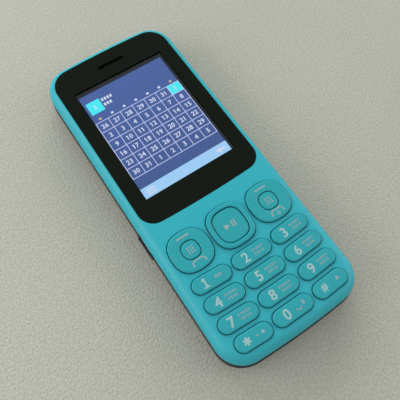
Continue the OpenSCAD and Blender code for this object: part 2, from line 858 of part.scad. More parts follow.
module main_board() {
    color("darkgreen") difference() {
        layer(board_z, board_t) intersection() {
            body_outline(wall_t + board_gap);
            translate([-body_w / 2, board_end_gap - body_l / 2]) square([body_w, body_l]);
        }
        for (p = BOSSES) post(p, boss_r + slip, board_z - over, board_top_z + over);
    }
}

module shield_cans() {
    color(metal_colour) both_sides() difference() {
        block([can_x, can_y], [can_w, can_l], board_z - can_h, board_z - touch);
        block([can_x, can_y], [can_w, can_l] - can_t * [2, 2], board_z - can_h + can_t, board_z);
    }
}

module loudspeaker() {
    color(black_colour) translate([0, speaker_y]) difference() {
        layer(board_z - speaker_h, speaker_h - touch) pill(speaker_w, speaker_l);
        layer(board_z - speaker_h - over, speaker_lip + over)
            pill(speaker_w - 2 * wall_t, speaker_l - 2 * wall_t);
    }
}

module vibration_motor() {
    color(metal_colour) translate([motor_x, motor_y, motor_z]) rotate([90, 0, 0]) difference() {
        cylinder(r = motor_r, h = motor_l, center = true);
        cylinder(r = motor_shaft_r + touch, h = motor_l, center = false);
    }
}

// Shaft with the half-round weight that makes the phone shake
module vibration_weight() {
    y0 = motor_y - motor_l / 2;
    color("gray") translate([motor_x, y0, motor_z]) rotate([90, 0, 0]) {
        translate([0, 0, -motor_l / 2 + slip]) cylinder(r = motor_shaft_r, h = motor_l / 2 + weight_l);
        difference() {
            translate([0, 0, slip]) cylinder(r = weight_r, h = weight_l - slip);
            translate([-weight_r, motor_shaft_r / 2, 0]) cube([2 * weight_r, weight_r, weight_l + over]);
        }
    }
}

module microphone() {
    color(metal_colour) post([mic_x, mic_y], mic_r, board_z - mic_h, board_z - touch);
}

module camera_module() {
    color(black_colour) {
        block([0, camera_y], [camera_w, camera_w], camera_z, board_z - touch);
        post([0, camera_y], camera_barrel_r, camera_glass_t + camera_recess + touch, camera_z + touch);
    }
}

// Round window in the back, over the camera
module camera_window() {
    color(lens_colour) difference() {
        post([0, camera_y], camera_r, camera_recess, camera_z - slip);
        post([0, camera_y], camera_barrel_r + slip, camera_recess + camera_glass_t, camera_z);
    }
}

module torch_led() {
    color("lightyellow")
        block([torch_x, camera_y], [torch_led_w, torch_led_w], board_z - torch_led_h, board_z - touch);
}

// Clear rod that carries the torch's light to the back
module torch_lens() {
    color("white") post([torch_x, camera_y], torch_r, camera_recess, board_z - torch_led_h - touch);
}

module battery() {
    color("lightgray")
        block([0, battery_y], [battery_w, battery_l], battery_top_z - battery_t, battery_top_z);
}

// Block with three springy blades that press on the battery's end
module battery_contacts() {
    color("goldenrod") {
        block([0, contact_y], [contact_w, contact_l], contact_z, board_z - touch);
        for (i = [-1 : 1])
            block([i * contact_pitch, contact_y - contact_l / 2], [blade_w, 2 * blade_out],
                contact_z + blade_w, chassis_z - blade_w);
    }
}

// Flat metal holder with a slot for a card
module card_holder(place, size, h) {
    difference() {
        block(place, size, board_z - h, board_z - touch);
        block(place - [0, card_lip], [size.x - 2 * card_wall, size.y], board_z - h + can_t, board_z - can_t);
    }
}

module sim_holders() {
    color(metal_colour) for (x = [-1, 0]) card_holder([x * card_pitch, card_y], [sim_w, sim_l], card_h);
}

module memory_card_holder() {
    color(metal_colour) card_holder([card_pitch, card_y], [memory_w, memory_l], card_h);
}

// Flat aerial below the chassis, with a leg up to the board
module antenna() {
    color("goldenrod") {
        block([antenna_x, antenna_y], [antenna_w, antenna_l], chassis_z - touch - antenna_t,
            chassis_z - touch);
        block([antenna_x, antenna_leg_y], [antenna_leg_w, antenna_leg_l], chassis_z - touch - antenna_t,
            board_z - touch);
    }
}

// Sockets

// Outline of the charging socket's surround, seen from the side, cut through along X
module usb_cut(gap, depth) {
    size = [depth, usb_bezel_l + 2 * gap, cover_top_z - usb_bezel_z + gap + over];
    translate([-depth / 2, -size.y / 2, usb_bezel_z - gap]) cube(size);
}

module usb_port() {
    color(metal_colour) translate([-body_w / 2, usb_y, socket_top_z - usb_h]) difference() {
        translate([usb_recess, -usb_w / 2, 0]) cube([usb_depth - usb_recess, usb_w, usb_h]);
        translate([usb_recess - over, usb_t - usb_w / 2, usb_t])
            cube([usb_depth - usb_recess - usb_t + over, usb_w - 2 * usb_t, usb_h - 2 * usb_t]);
    }
}

module usb_bezel() {
    bore = [usb_proud + usb_bezel_in + 2 * over, usb_w + 2 * touch, usb_h + 2 * touch + over];
    color(black_colour) translate([-body_w / 2, usb_y, 0]) difference() {
        translate([-usb_proud, -usb_bezel_l / 2, usb_bezel_z])
            cube([usb_proud + usb_bezel_in, usb_bezel_l, socket_top_z - usb_bezel_z]);
        translate([-usb_proud - over, -bore.y / 2, socket_top_z - usb_h - touch]) cube(bore);
    }
}

// Outline of the headphone socket's nose, seen from the end
module jack_outline(gap, top_z) {
    r = jack_nose_r + gap;
    translate([0, jack_z]) circle(r);
    translate([-r, jack_z]) square([2 * r, top_z - jack_z]);
}

// Cut along Y that the nose stands in
module jack_cut(gap, depth) {
    rotate([90, 0, 0]) linear_extrude(depth, center = true) jack_outline(gap, seam_z + over);
}

module audio_jack() {
    face_y = body_l / 2 - rim_w;
    back_y = jack_mouth_y - jack_l;
    color(black_colour) difference() {
        union() {
            translate([jack_x - jack_nose_r, back_y, jack_z - jack_nose_r])
                cube([2 * jack_nose_r, face_y - back_y, socket_top_z - jack_z + jack_nose_r]);
            translate([jack_x, jack_mouth_y, 0]) rotate([90, 0, 0])
                linear_extrude(jack_mouth_y - face_y + over) jack_outline(0, socket_top_z);
        }
        translate([jack_x, jack_mouth_y + over, jack_z]) rotate([90, 0, 0])
            cylinder(r = jack_bore_r, h = jack_bore_l + over);
    }
}

// Four screws that clamp the chassis to the front shell
module case_screws() {
    color("gray") for (p = BOSSES) {
        post(p, screw_head_r, screw_seat_z - screw_head_h, screw_seat_z - touch);
        post(p, screw_r, screw_seat_z - 2 * touch, plate_z - touch);
    }
}

front_housing();
rear_cover();
chassis();
display_lens();
lens_tape();
earpiece_mesh();
earpiece();
lcd_panel();
lcd_frame();
lcd_gasket();
lcd_flex();
for (k = KEYS) number_key(k);
nav_ring();
nav_actuator();
nav_centre_key();
left_rocker_key();
right_rocker_key();
left_menu_key();
right_menu_key();
keypad_membrane();
dome_switches();
main_board();
shield_cans();
loudspeaker();
vibration_motor();
vibration_weight();
microphone();
camera_module();
camera_window();
torch_led();
torch_lens();
battery();
battery_contacts();
sim_holders();
memory_card_holder();
antenna();
usb_port();
usb_bezel();
audio_jack();
case_screws();
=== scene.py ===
"""Looks of a bar-shaped feature phone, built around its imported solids. Sizes are in millimetres."""

import functools
import logging
import math
from collections.abc import Callable, Mapping, Sequence
from dataclasses import dataclass, field
from enum import Enum

import bmesh
import bpy
from mathutils import Matrix, Vector


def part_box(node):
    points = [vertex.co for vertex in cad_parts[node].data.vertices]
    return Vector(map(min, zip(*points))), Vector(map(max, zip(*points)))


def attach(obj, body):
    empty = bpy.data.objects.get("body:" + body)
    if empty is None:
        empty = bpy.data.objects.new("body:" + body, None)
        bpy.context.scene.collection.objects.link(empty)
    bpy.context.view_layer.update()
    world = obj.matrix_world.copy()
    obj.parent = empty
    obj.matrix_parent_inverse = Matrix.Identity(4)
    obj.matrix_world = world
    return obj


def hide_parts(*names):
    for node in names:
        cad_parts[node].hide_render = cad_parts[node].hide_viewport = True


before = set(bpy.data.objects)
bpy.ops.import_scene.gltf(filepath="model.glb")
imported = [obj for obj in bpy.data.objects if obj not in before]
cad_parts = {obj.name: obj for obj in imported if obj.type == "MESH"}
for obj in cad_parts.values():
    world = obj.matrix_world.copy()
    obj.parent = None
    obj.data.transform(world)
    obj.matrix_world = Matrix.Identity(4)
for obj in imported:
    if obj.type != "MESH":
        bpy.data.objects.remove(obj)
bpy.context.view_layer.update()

LOG = logging.getLogger("phone")
MM = 0.001
SHARP_ANGLE = math.radians(38)
WELD = 1e-6
BEVEL_SAMPLES = 6
PILL_STEPS = 28
SIDE_STEPS = 8
CORNER_STEPS = 16
BOX_STEPS = 5
STROKE_GROWTH = 0.02
FIGURE_PITCH = 0.714
NARROW_FOOT = 0.095
WIDE_FOOT = 0.31

Triple = tuple[float, float, float]
Colour = Triple
Point = tuple[float, float]
Plan = Callable[[float], list[Point]]
Sockets = Mapping[str | int, object]


class Axis(Enum):
    """Axes of the phone's own frame."""

    X = "X"
    Y = "Y"
    Z = "Z"


# Shader kit


class Graph:
    """Node tree of one material, with one method that adds any node."""

    def __init__(self, name: str) -> None:
        """Starts a material that holds nothing but its output.

        Args:
            name: Name of the material.
        """
        self.material = bpy.data.materials.new(name)
        self.material.use_nodes = True
        self.tree = self.material.node_tree
        self.tree.nodes.clear()
        self.output = self.tree.nodes.new("ShaderNodeOutputMaterial")

    def add(self, kind: str, settings: Mapping[str, object] | None = None,
            sockets: Sockets | None = None) -> bpy.types.Node:
        """Adds a node, sets it up and fills its sockets.

        Args:
            kind: Blender's name for the type of node.
            settings: Properties of the node, set before its sockets.
            sockets: A number, a colour, a Value or a socket for each named or numbered input.

        Returns:
            The new node.
        """
        node = self.tree.nodes.new(kind)
        for name, value in (settings or {}).items():
            setattr(node, name, value)
        for name, value in (sockets or {}).items():
            socket = node.inputs[name]
            if isinstance(value, Value):
                self.tree.links.new(value.socket, socket)
            elif isinstance(value, bpy.types.NodeSocket):
                self.tree.links.new(value, socket)
            elif socket.type == "RGBA":
                socket.default_value = (*value, 1.0)
            else:
                socket.default_value = value
        return node

    def place(self) -> bpy.types.NodeSocket:
        """Position in the phone's own frame, in metres."""
        return self.add("ShaderNodeTexCoord").outputs["Object"]

    def axis(self, axis: Axis) -> "Value":
        """Position along one axis, in millimetres."""
        node = self.add("ShaderNodeSeparateXYZ", sockets={"Vector": self.place()})
        return Value(self, node.outputs[axis.value]) / MM

    def radius(self, x: float, y: float) -> "Value":
        """Distance from the upright axis through a place in plan, in millimetres."""
        return ((self.axis(Axis.X) - x) ** 2 + (self.axis(Axis.Y) - y) ** 2) ** 0.5

    def noise(self, size: float, detail: float = 2.0, stretch: Triple | None = None) -> "Value":
        """Cloudy noise between 0 and 1.

        Args:
            size: Width of one cloud, in millimetres.
            detail: Finer layers that are added.
            stretch: Factors that squeeze the noise along each axis.

        Returns:
            The noise.
        """
        place = self.place()
        if stretch:
            node = self.add("ShaderNodeVectorMath", {"operation": "MULTIPLY"}, {0: place, 1: stretch})
            place = node.outputs[0]
        sockets = {"Vector": place, "Scale": 1 / (size * MM), "Detail": detail}
        return Value(self, self.add("ShaderNodeTexNoise", sockets=sockets).outputs["Fac"])

    def mix(self, share: "Value", first: object, second: object) -> bpy.types.NodeSocket:
        """Blends two colours, the first where the share is 0 and the second where it is 1."""
        node = self.add("ShaderNodeMix", {"data_type": "RGBA"}, {0: share, 6: first, 7: second})
        return node.outputs[2]

    def bump(self, height: "Value", depth: float, edge: float = 0.0) -> bpy.types.NodeSocket:
        """Turns a height into a normal.

        Args:
            height: Height between 0 and 1.
            depth: Depth of the relief, in millimetres.
            edge: Radius by which sharp edges look rounded, in millimetres.

        Returns:
            The normal.
        """
        sockets: dict[str | int, object] = {"Height": height, "Distance": depth * MM}
        if edge:
            node = self.add("ShaderNodeBevel", {"samples": BEVEL_SAMPLES}, {"Radius": edge * MM})
            sockets["Normal"] = node.outputs["Normal"]
        return self.add("ShaderNodeBump", sockets=sockets).outputs["Normal"]

    def surface(self, sockets: Sockets) -> bpy.types.Material:
        """Finishes the material with one principled surface.

        Args:
            sockets: Inputs of the surface.

        Returns:
            The material.
        """
        node = self.add("ShaderNodeBsdfPrincipled", sockets=sockets)
        self.tree.links.new(node.outputs["BSDF"], self.output.inputs["Surface"])
        return self.material


@dataclass(frozen=True)
class Value:
    """A number that changes over a surface; sums on it add Math nodes."""

    graph: Graph
    socket: bpy.types.NodeSocket

    def math(self, operation: str, *terms: "Value | float") -> "Value":
        """Adds one Math node for a sum that Blender knows by name."""
        node = self.graph.add("ShaderNodeMath", {"operation": operation}, dict(enumerate(terms)))
        return Value(self.graph, node.outputs[0])

    def __add__(self, other: "Value | float") -> "Value":
        """Sum."""
        return self.math("ADD", self, other)

    def __radd__(self, other: float) -> "Value":
        """Sum with a number on the left."""
        return self.math("ADD", other, self)

    def __sub__(self, other: "Value | float") -> "Value":
        """Difference."""
        return self.math("SUBTRACT", self, other)

    def __rsub__(self, other: float) -> "Value":
        """Difference from a number on the left."""
        return self.math("SUBTRACT", other, self)

    def __mul__(self, other: "Value | float") -> "Value":
        """Product."""
        return self.math("MULTIPLY", self, other)

    def __rmul__(self, other: float) -> "Value":
        """Product with a number on the left."""
        return self.math("MULTIPLY", other, self)

    def __truediv__(self, other: "Value | float") -> "Value":
        """Quotient."""
        return self.math("DIVIDE", self, other)

    def __pow__(self, other: float) -> "Value":
        """Power."""
        return self.math("POWER", self, other)

    def __abs__(self) -> "Value":
        """Size without sign."""
        return self.math("ABSOLUTE", self)

    def whole(self) -> "Value":
        """The whole number below."""
        return self.math("FLOOR", self)

    def part(self) -> "Value":
        """What is left above the whole number below."""
        return self.math("FRACT", self)

    def below(self, limit: "Value | float") -> "Value":
        """1 where the value is under a limit, and 0 elsewhere."""
        return self.math("LESS_THAN", self, limit)

    def most(self, other: "Value | float") -> "Value":
        """The larger of two values."""
        return self.math("MAXIMUM", self, other)

    def between(self, low: float, high: float) -> "Value":
        """Share of the way from one number to another, kept between 0 and 1.

        Args:
            low: Number that gives 0.
            high: Number that gives 1.

        Returns:
            The share.
        """
        sockets = {"Value": self, "From Min": low, "From Max": high}
        node = self.graph.add("ShaderNodeMapRange", {"clamp": True}, sockets)
        return Value(self.graph, node.outputs["Result"])


# Finishes


@dataclass(frozen=True)
class Moulded:
    """Moulded plastic, rubber or film with a fine grain and faint streaks of flow."""

    name: str
    colour: Colour
    shade: Colour
    roughness: float
    grain: float = 0.25
    depth: float = 0.004
    coat: float = 0.0
    edge: float = 0.0
    gloss: float = 0.5
    # Painted shade: a darker colour laid on the walls below a height, standing in for the shade in the gaps
    # round keys.
    wall: Colour | None = None
    wall_low: float = 13.9
    wall_high: float = 14.25
    uneven: float = 0.16

    def material(self) -> bpy.types.Material:
        """Makes the material, with painted shade on the foot of the walls where a colour for that shade is
        given.

        Returns:
            The material.
        """
        graph = Graph(self.name)
        grain = graph.noise(self.grain, detail=3.0)
        flow = graph.noise(size=22.0, stretch=(1.0, 0.4, 1.0))
        tone = graph.mix(flow * 0.7 + grain * 0.3, self.colour, self.shade)
        # Painted shade: fully dark below the lower height, fading out by the upper height, so the walls and
        # lower shoulders look shaded in their gaps.
        if self.wall:
            tone = graph.mix(graph.axis(Axis.Z).between(self.wall_low, self.wall_high), self.wall, tone)
        return graph.surface({
            "Base Color": tone,
            "Roughness": self.roughness + (grain - 0.5) * self.uneven,
            "Specular IOR Level": self.gloss,
            "Coat Weight": self.coat,
            "Coat Roughness": 0.18,
            "Normal": graph.bump(grain, self.depth, self.edge),
        })


@dataclass(frozen=True)
class DarkLens:
    """Dark printed lens with a clear window over the screen."""

    name: str
    window_w: float
    window_l: float
    window_y: float
    colour: Colour = (0.0050, 0.0078, 0.0050)
    smudge: Colour = (0.0066, 0.0098, 0.0068)
    clear: float = 0.97

    def material(self) -> bpy.types.Material:
        """Makes the material.

        Returns:
            The material.
        """
        graph = Graph(self.name)
        across = abs(graph.axis(Axis.X)) - self.window_w / 2
        along = abs(graph.axis(Axis.Y) - self.window_y) - self.window_l / 2
        window = across.most(along).below(0.0)
        wipe = graph.noise(size=7.0, detail=4.0, stretch=(1.0, 0.5, 1.0))
        return graph.surface({
            "Base Color": graph.mix(wipe, self.colour, self.smudge),
            "Roughness": 0.04 + wipe * 0.06,
            "Specular IOR Level": 0.1,
            "Alpha": 1 - window * self.clear,
            "Normal": graph.bump(wipe, depth=0.0006, edge=0.2),
        })


@dataclass(frozen=True)
class Metal:
    """Stamped, plated or sintered metal with marks that run along one axis."""

    name: str
    colour: Colour
    shade: Colour
    roughness: float
    grain: float = 0.5
    stretch: Triple = (1.0, 0.06, 1.0)
    depth: float = 0.003
    uneven: float = 0.25

    def material(self) -> bpy.types.Material:
        """Makes the material.

        Returns:
            The material.
        """
        graph = Graph(self.name)
        marks = graph.noise(self.grain, 3.0, self.stretch)
        stain = graph.noise(size=5.0, detail=3.0)
        return graph.surface({
            "Base Color": graph.mix(stain * 0.5 + marks * 0.5, self.colour, self.shade),
            "Metallic": 1.0,
            "Roughness": self.roughness + (marks - 0.5) * self.uneven,
            "Normal": graph.bump(marks, self.depth, edge=0.08),
        })


@dataclass(frozen=True)
class CircuitBoard:
    """Lacquered board with copper tracks under the lacquer and tinned pads."""

    name: str
    lacquer: Colour
    track: Colour
    tin: Colour
    pitch: float = 0.9
    track_share: float = 0.42
    pad_x: float = 3.1
    pad_y: float = 3.7
    pad_r: float = 0.12

    def material(self) -> bpy.types.Material:
        """Makes the material.

        Returns:
            The material.
        """
        graph = Graph(self.name)
        bends = (graph.noise(size=9.0, detail=0.0) * 6.0).whole() * 0.5
        lane = (graph.axis(Axis.X) / self.pitch + bends).part()
        tracks = lane.below(self.track_share) * graph.noise(size=6.0, detail=0.0).below(0.52)
        across = (graph.axis(Axis.X) / self.pad_x).part() - 0.5
        along = (graph.axis(Axis.Y) / self.pad_y).part() - 0.5
        spot = (across ** 2 + along ** 2) ** 0.5
        pads = spot.below(self.pad_r) * graph.noise(size=11.0, detail=0.0).below(0.46)
        base = graph.mix(tracks, self.lacquer, self.track)
        return graph.surface({
            "Base Color": graph.mix(pads, base, self.tin),
            "Metallic": pads * 0.9,
            "Roughness": 0.34 - tracks * 0.06,
            "Normal": graph.bump(tracks * 0.5 + pads * 0.5, depth=0.03),
        })


@dataclass(frozen=True)
class Ribbon:
    """Amber film with copper lines that run along it."""

    name: str
    film: Colour
    copper: Colour
    pitch: float = 0.7

    def material(self) -> bpy.types.Material:
        """Makes the material.

        Returns:
            The material.
        """
        graph = Graph(self.name)
        lines = (graph.axis(Axis.X) / self.pitch).part().below(0.5)
        cloud = graph.noise(size=3.0)
        return graph.surface({
            "Base Color": graph.mix(lines * (0.6 + cloud * 0.4), self.film, self.copper),
            "Roughness": 0.3 + cloud * 0.15,
            "Normal": graph.bump(lines, depth=0.01),
        })


@dataclass(frozen=True)
class Wrap:
    """Printed film round the battery: silver, a darker band at each end and plain rule lines."""

    name: str
    film: Colour
    band: Colour
    line: Colour
    low_y: float
    high_y: float
    low_band: float = 0.1
    high_band: float = 0.16
    rules: float = 24.0
    rule_half_w: float = 13.0

    def material(self) -> bpy.types.Material:
        """Makes the material.

        Returns:
            The material.
        """
        graph = Graph(self.name)
        share = graph.axis(Axis.Y).between(self.low_y, self.high_y)
        bands = share.below(self.low_band) + (1 - share).below(self.high_band)
        rules = (share * self.rules).part().below(0.12) * abs(share - 0.48).below(0.14)
        inside = abs(graph.axis(Axis.X)).below(self.rule_half_w)
        crease = graph.noise(size=2.5, detail=4.0, stretch=(1.0, 0.3, 1.0))
        printed = graph.mix(rules * inside, self.film, self.line)
        return graph.surface({
            "Base Color": graph.mix(bands, printed, self.band),
            "Roughness": 0.3 + crease * 0.18,
            "Metallic": 0.55 - bands * 0.5,
            "Normal": graph.bump(crease, depth=0.03, edge=0.3),
        })


@dataclass(frozen=True)
class RoundGlass:
    """Round glass with a printed rim and a paler ring, centred on an upright axis."""

    name: str
    x: float
    y: float
    rim: float
    colour: Colour
    ring: Colour
    alpha: float
    ring_half_w: float = 0.12
    hole_share: float = 0.72

    def material(self) -> bpy.types.Material:
        """Makes the material.

        Returns:
            The material.
        """
        graph = Graph(self.name)
        radius = graph.radius(self.x, self.y)
        ring = abs(radius - self.rim).below(self.ring_half_w)
        hole = radius.below(self.rim * self.hole_share)
        wipe = graph.noise(size=2.0, detail=3.0)
        return graph.surface({
            "Base Color": graph.mix(ring, self.colour, self.ring),
            "Roughness": 0.05 + wipe * 0.08,
            "Alpha": 1 - hole * (1 - self.alpha),
            "Normal": graph.bump(wipe, depth=0.0005, edge=0.1),
        })


@dataclass(frozen=True)
class RingedLens:
    """Frosted clear plastic with fine rings that spread a lamp's light."""

    name: str
    x: float
    y: float
    colour: Colour
    frost: Colour
    pitch: float = 0.32

    def material(self) -> bpy.types.Material:
        """Makes the material.

        Returns:
            The material.
        """
        graph = Graph(self.name)
        rings = (graph.radius(self.x, self.y) / self.pitch).part()
        frost = graph.noise(size=0.2)
        return graph.surface({
            "Base Color": graph.mix(frost, self.colour, self.frost),
            "Roughness": 0.18 + frost * 0.2,
            "Transmission Weight": 0.6,
            "IOR": 1.49,
            "Normal": graph.bump(rings, depth=0.08),
        })


@dataclass(frozen=True)
class Lit:
    """Lit picture elements whose colour runs from one end of the screen to the other."""

    name: str
    low: Colour
    high: Colour
    low_y: float
    high_y: float
    pixel: float = 0.153
    gap: float = 0.14
    gap_shade: float = 0.16

    def material(self) -> bpy.types.Material:
        """Makes the material.

        Returns:
            The material.
        """
        graph = Graph(self.name)
        share = graph.axis(Axis.Y).between(self.low_y, self.high_y)
        across = (graph.axis(Axis.X) / self.pixel).part().below(self.gap)
        along = (graph.axis(Axis.Y) / self.pixel).part().below(self.gap)
        light = graph.mix(share, self.low, self.high)
        return graph.surface({
            "Base Color": (0.004, 0.004, 0.006),
            "Roughness": 0.4,
            "Specular IOR Level": 0.0,
            "Emission Color": graph.mix(across.most(along) * self.gap_shade, light, (0.0, 0.0, 0.0)),
            "Emission Strength": 1.0,
        })


@dataclass(frozen=True)
class Ink:
    """Printed ink that is a little thin in places."""

    name: str
    colour: Colour
    thin: Colour

    def material(self) -> bpy.types.Material:
        """Makes the material.

        Returns:
            The material.
        """
        graph = Graph(self.name)
        worn = graph.noise(size=0.35, detail=3.0)
        return graph.surface({
            "Base Color": graph.mix(worn.between(0.42, 0.72), self.colour, self.thin),
            "Roughness": 0.48 + worn * 0.12,
            "Normal": graph.bump(worn, depth=0.004),
        })


@dataclass(frozen=True)
class Ground:
    """Pale surface with a faint pebble grain."""

    name: str
    colour: Colour
    shade: Colour

    def material(self) -> bpy.types.Material:
        """Makes the material.

        Returns:
            The material.
        """
        graph = Graph(self.name)
        pebble = graph.noise(size=0.75, detail=1.0).between(0.33, 0.67)
        cloud = graph.noise(size=70.0)
        return graph.surface({
            "Base Color": graph.mix(cloud * 0.3 + pebble * 0.7, self.colour, self.shade),
            "Roughness": 0.72 + pebble * 0.1,
            "Specular IOR Level": 0.25,
            "Normal": graph.bump(pebble, depth=0.08),
        })


Finish = (Moulded | DarkLens | Metal | CircuitBoard | Ribbon | Wrap | RoundGlass | RingedLens | Lit | Ink
          | Ground)


@functools.cache
def material_of(finish: Finish) -> bpy.types.Material:
    """Material of a finish, made once."""
    return finish.material()


SHELL = Moulded("moulded_turquoise", (0.022, 0.415, 0.500), (0.030, 0.440, 0.525), 0.50, gloss=0.46, edge=0.3)
# Colour of the painted shade on the walls of the keys and the ring, standing in for the shade in the gaps
# round them.
KEY_PAINTED_SHADE = (0.010, 0.235, 0.280)
KEY = Moulded("key_turquoise", (0.020, 0.350, 0.405), (0.026, 0.375, 0.430), 0.30, depth=0.002, gloss=0.42,
              wall=KEY_PAINTED_SHADE)
RIM = Moulded("gloss_turquoise", (0.014, 0.355, 0.420), (0.020, 0.380, 0.444), 0.24, depth=0.001, coat=0.06,
              wall=KEY_PAINTED_SHADE)
BACK = Moulded("grained_black", (0.012, 0.013, 0.014), (0.020, 0.021, 0.023), 0.52, 0.45, 0.02, edge=0.2)
INNER = Moulded("frame_black", (0.022, 0.022, 0.025), (0.034, 0.034, 0.037), 0.6, 0.5, 0.015, edge=0.15)
TAPE = Moulded("black_tape", (0.012, 0.012, 0.012), (0.022, 0.022, 0.022), 0.75, 0.3, 0.01)
FOAM = Moulded("black_foam", (0.02, 0.02, 0.02), (0.05, 0.05, 0.05), 0.9, 0.18, 0.08)
RUBBER = Moulded("pale_silicone", (0.70, 0.70, 0.67), (0.60, 0.60, 0.57), 0.55, 0.4, 0.01)
PANEL = Moulded("screen_glass", (0.105, 0.118, 0.116), (0.125, 0.140, 0.138), 0.22, 3.0, 0.0005)
SOCKET = Moulded("socket_black", (0.014, 0.014, 0.016), (0.024, 0.024, 0.026), 0.42, 0.3, 0.008, edge=0.15)
LAMP = Moulded("lamp_yellow", (0.85, 0.72, 0.16), (0.92, 0.82, 0.30), 0.35, 0.3, 0.004)
STEEL = Metal("stamped_steel", (0.62, 0.62, 0.61), (0.50, 0.50, 0.49), 0.32)
DARK_STEEL = Metal("dark_mesh", (0.02, 0.02, 0.02), (0.04, 0.04, 0.04), 0.5, 0.2)
SINTERED = Metal("sintered_weight", (0.36, 0.35, 0.34), (0.28, 0.27, 0.26), 0.5, 0.25, (1.0, 1.0, 1.0), 0.02)
GILT = Metal("gilt_contacts", (0.83, 0.62, 0.25), (0.70, 0.50, 0.18), 0.25, 0.3)
BOARD = CircuitBoard("green_board", (0.010, 0.110, 0.045), (0.030, 0.190, 0.080), (0.75, 0.73, 0.68))
RIBBON = Ribbon("amber_ribbon", (0.36, 0.15, 0.02), (0.55, 0.25, 0.06))
INK = Ink("pale_ink", (0.37, 0.56, 0.56), (0.26, 0.48, 0.49))
SOFT_INK = Ink("soft_ink", (0.35, 0.42, 0.43), (0.22, 0.39, 0.42))
FAINT_INK = Ink("faint_ink", (0.25, 0.38, 0.40), (0.12, 0.36, 0.40))
FLOOR = Ground("pale_floor", (0.535, 0.55, 0.475), (0.39, 0.403, 0.347))


# Meshes


@dataclass
class Shape:
    """Points and faces of a mesh, in millimetres, before it becomes a piece."""

    points: list[Vector] = field(default_factory=list)
    faces: list[tuple[int, ...]] = field(default_factory=list)

    def add(self, other: "Shape") -> "Shape":
        """Takes in another shape.

        Args:
            other: The shape that is added.

        Returns:
            This shape.
        """
        start = len(self.points)
        self.points += other.points
        self.faces += [tuple(i + start for i in face) for face in other.faces]
        return self

    def moved(self, x: float, y: float, turn: float = 0.0) -> "Shape":
        """A copy, turned about the upright axis by a number of degrees and then shifted."""
        matrix = Matrix.Translation((x, y, 0.0)) @ Matrix.Rotation(math.radians(turn), 4, "Z")
        return Shape([matrix @ p for p in self.points], list(self.faces))


def arc(x: float, y: float, r: float, start: float, end: float, steps: int) -> list[Point]:
    """Points along an arc about a place, from one angle in degrees to another, both ends included."""
    angles = [math.radians(start + (end - start) * i / steps) for i in range(steps + 1)]
    return [(x + r * math.cos(a), y + r * math.sin(a)) for a in angles]


def circle(r: float, count: int) -> list[Point]:
    """A number of points round a circle, counter-clockwise."""
    return arc(0, 0, r, 0, 360 - 360 / count, count - 1)


def pill(width: float, height: float, grow: float = 0.0) -> list[Point]:
    """Outline with round ends, moved out all round by a growth; counter-clockwise."""
    half, r = (width - height) / 2, height / 2 + grow
    return arc(half, 0, r, -90, 90, PILL_STEPS) + arc(-half, 0, r, 90, 270, PILL_STEPS)


def round_box(width: float, height: float, r: float) -> list[Point]:
    """Rectangle with round corners, counter-clockwise.

    Args:
        width: Full width.
        height: Full height.
        r: Corner radius.

    Returns:
        The points.
    """
    x, y = width / 2 - r, height / 2 - r
    corners = ((x, y), (-x, y), (-x, -y), (x, -y))
    return [p for i, (cx, cy) in enumerate(corners) for p in arc(cx, cy, r, 90 * i, 90 * i + 90, BOX_STEPS)]


@dataclass(frozen=True)
class SquareRound:
    """Plan of four side arcs that run into four corner arcs."""

    width: float
    height: float
    corner: float
    side: float

    def __call__(self, grow: float) -> list[Point]:
        """Draws the outline.

        Args:
            grow: How far it moves out all round.

        Returns:
            The points, counter-clockwise.
        """
        w, h, r, side = self.width / 2 + grow, self.height / 2 + grow, self.corner + grow, self.side + grow
        a, b = side - w, side - h
        half = math.hypot(a, b) / 2
        reach = math.sqrt((side - r) ** 2 - half * half)
        cx, cy = -a / 2 + b / (2 * half) * reach, -b / 2 + a / (2 * half) * reach
        low = math.degrees(math.atan2(cy, cx - w + side))
        high = math.degrees(math.atan2(cy - h + side, cx))
        first = (arc(w - side, 0, side, 0, low, SIDE_STEPS)[1:-1] + arc(cx, cy, r, low, high, CORNER_STEPS)
                 + arc(0, h - side, side, high, 90, SIDE_STEPS)[1:-1])
        second = [(-px, py) for px, py in reversed(first)]
        return first + second + [(-px, -py) for px, py in first + second]


def at_height(outline: Sequence[Point], z: float) -> list[Vector]:
    """Puts an outline at a height."""
    return [Vector((x, y, z)) for x, y in outline]


def loft(rings: Sequence[Sequence[Vector]], closed: bool = False) -> Shape:
    """Skin over rings of equal count, from the first to the last.

    Args:
        rings: The rings, counter-clockwise seen from the end that the skin runs to.
        closed: Whether the last ring joins the first; otherwise both ends are capped.

    Returns:
        The shape.
    """
    count, last = len(rings[0]), len(rings) - 1
    pairs = [(i, i + 1) for i in range(last)] + ([(last, 0)] if closed else [])
    faces = [(a * count + i, a * count + (i + 1) % count, b * count + (i + 1) % count, b * count + i)
             for a, b in pairs for i in range(count)]
    if not closed:
        faces += [tuple(reversed(range(count))), tuple(range(last * count, (last + 1) * count))]
    return Shape([p for ring in rings for p in ring], faces)


def slab(outline: Sequence[Point], low: float, high: float) -> Shape:
    """Flat plate between two heights."""
    return loft([at_height(outline, low), at_height(outline, high)])


def washer(steps: Sequence[Point], count: int) -> Shape:
    """Ring about the upright axis, from the radius and the height of each corner of its section."""
    return loft([at_height(circle(r, count), z) for r, z in steps], closed=True)


def stand(name: str, data: bpy.types.ID) -> bpy.types.Object:
    """Puts a new object into the scene.

    Args:
        name: Name of the object.
        data: Its mesh, curve, light or camera.

    Returns:
        The object.
    """
    item = bpy.data.objects.new(name, data)
    bpy.context.scene.collection.objects.link(item)
    return item


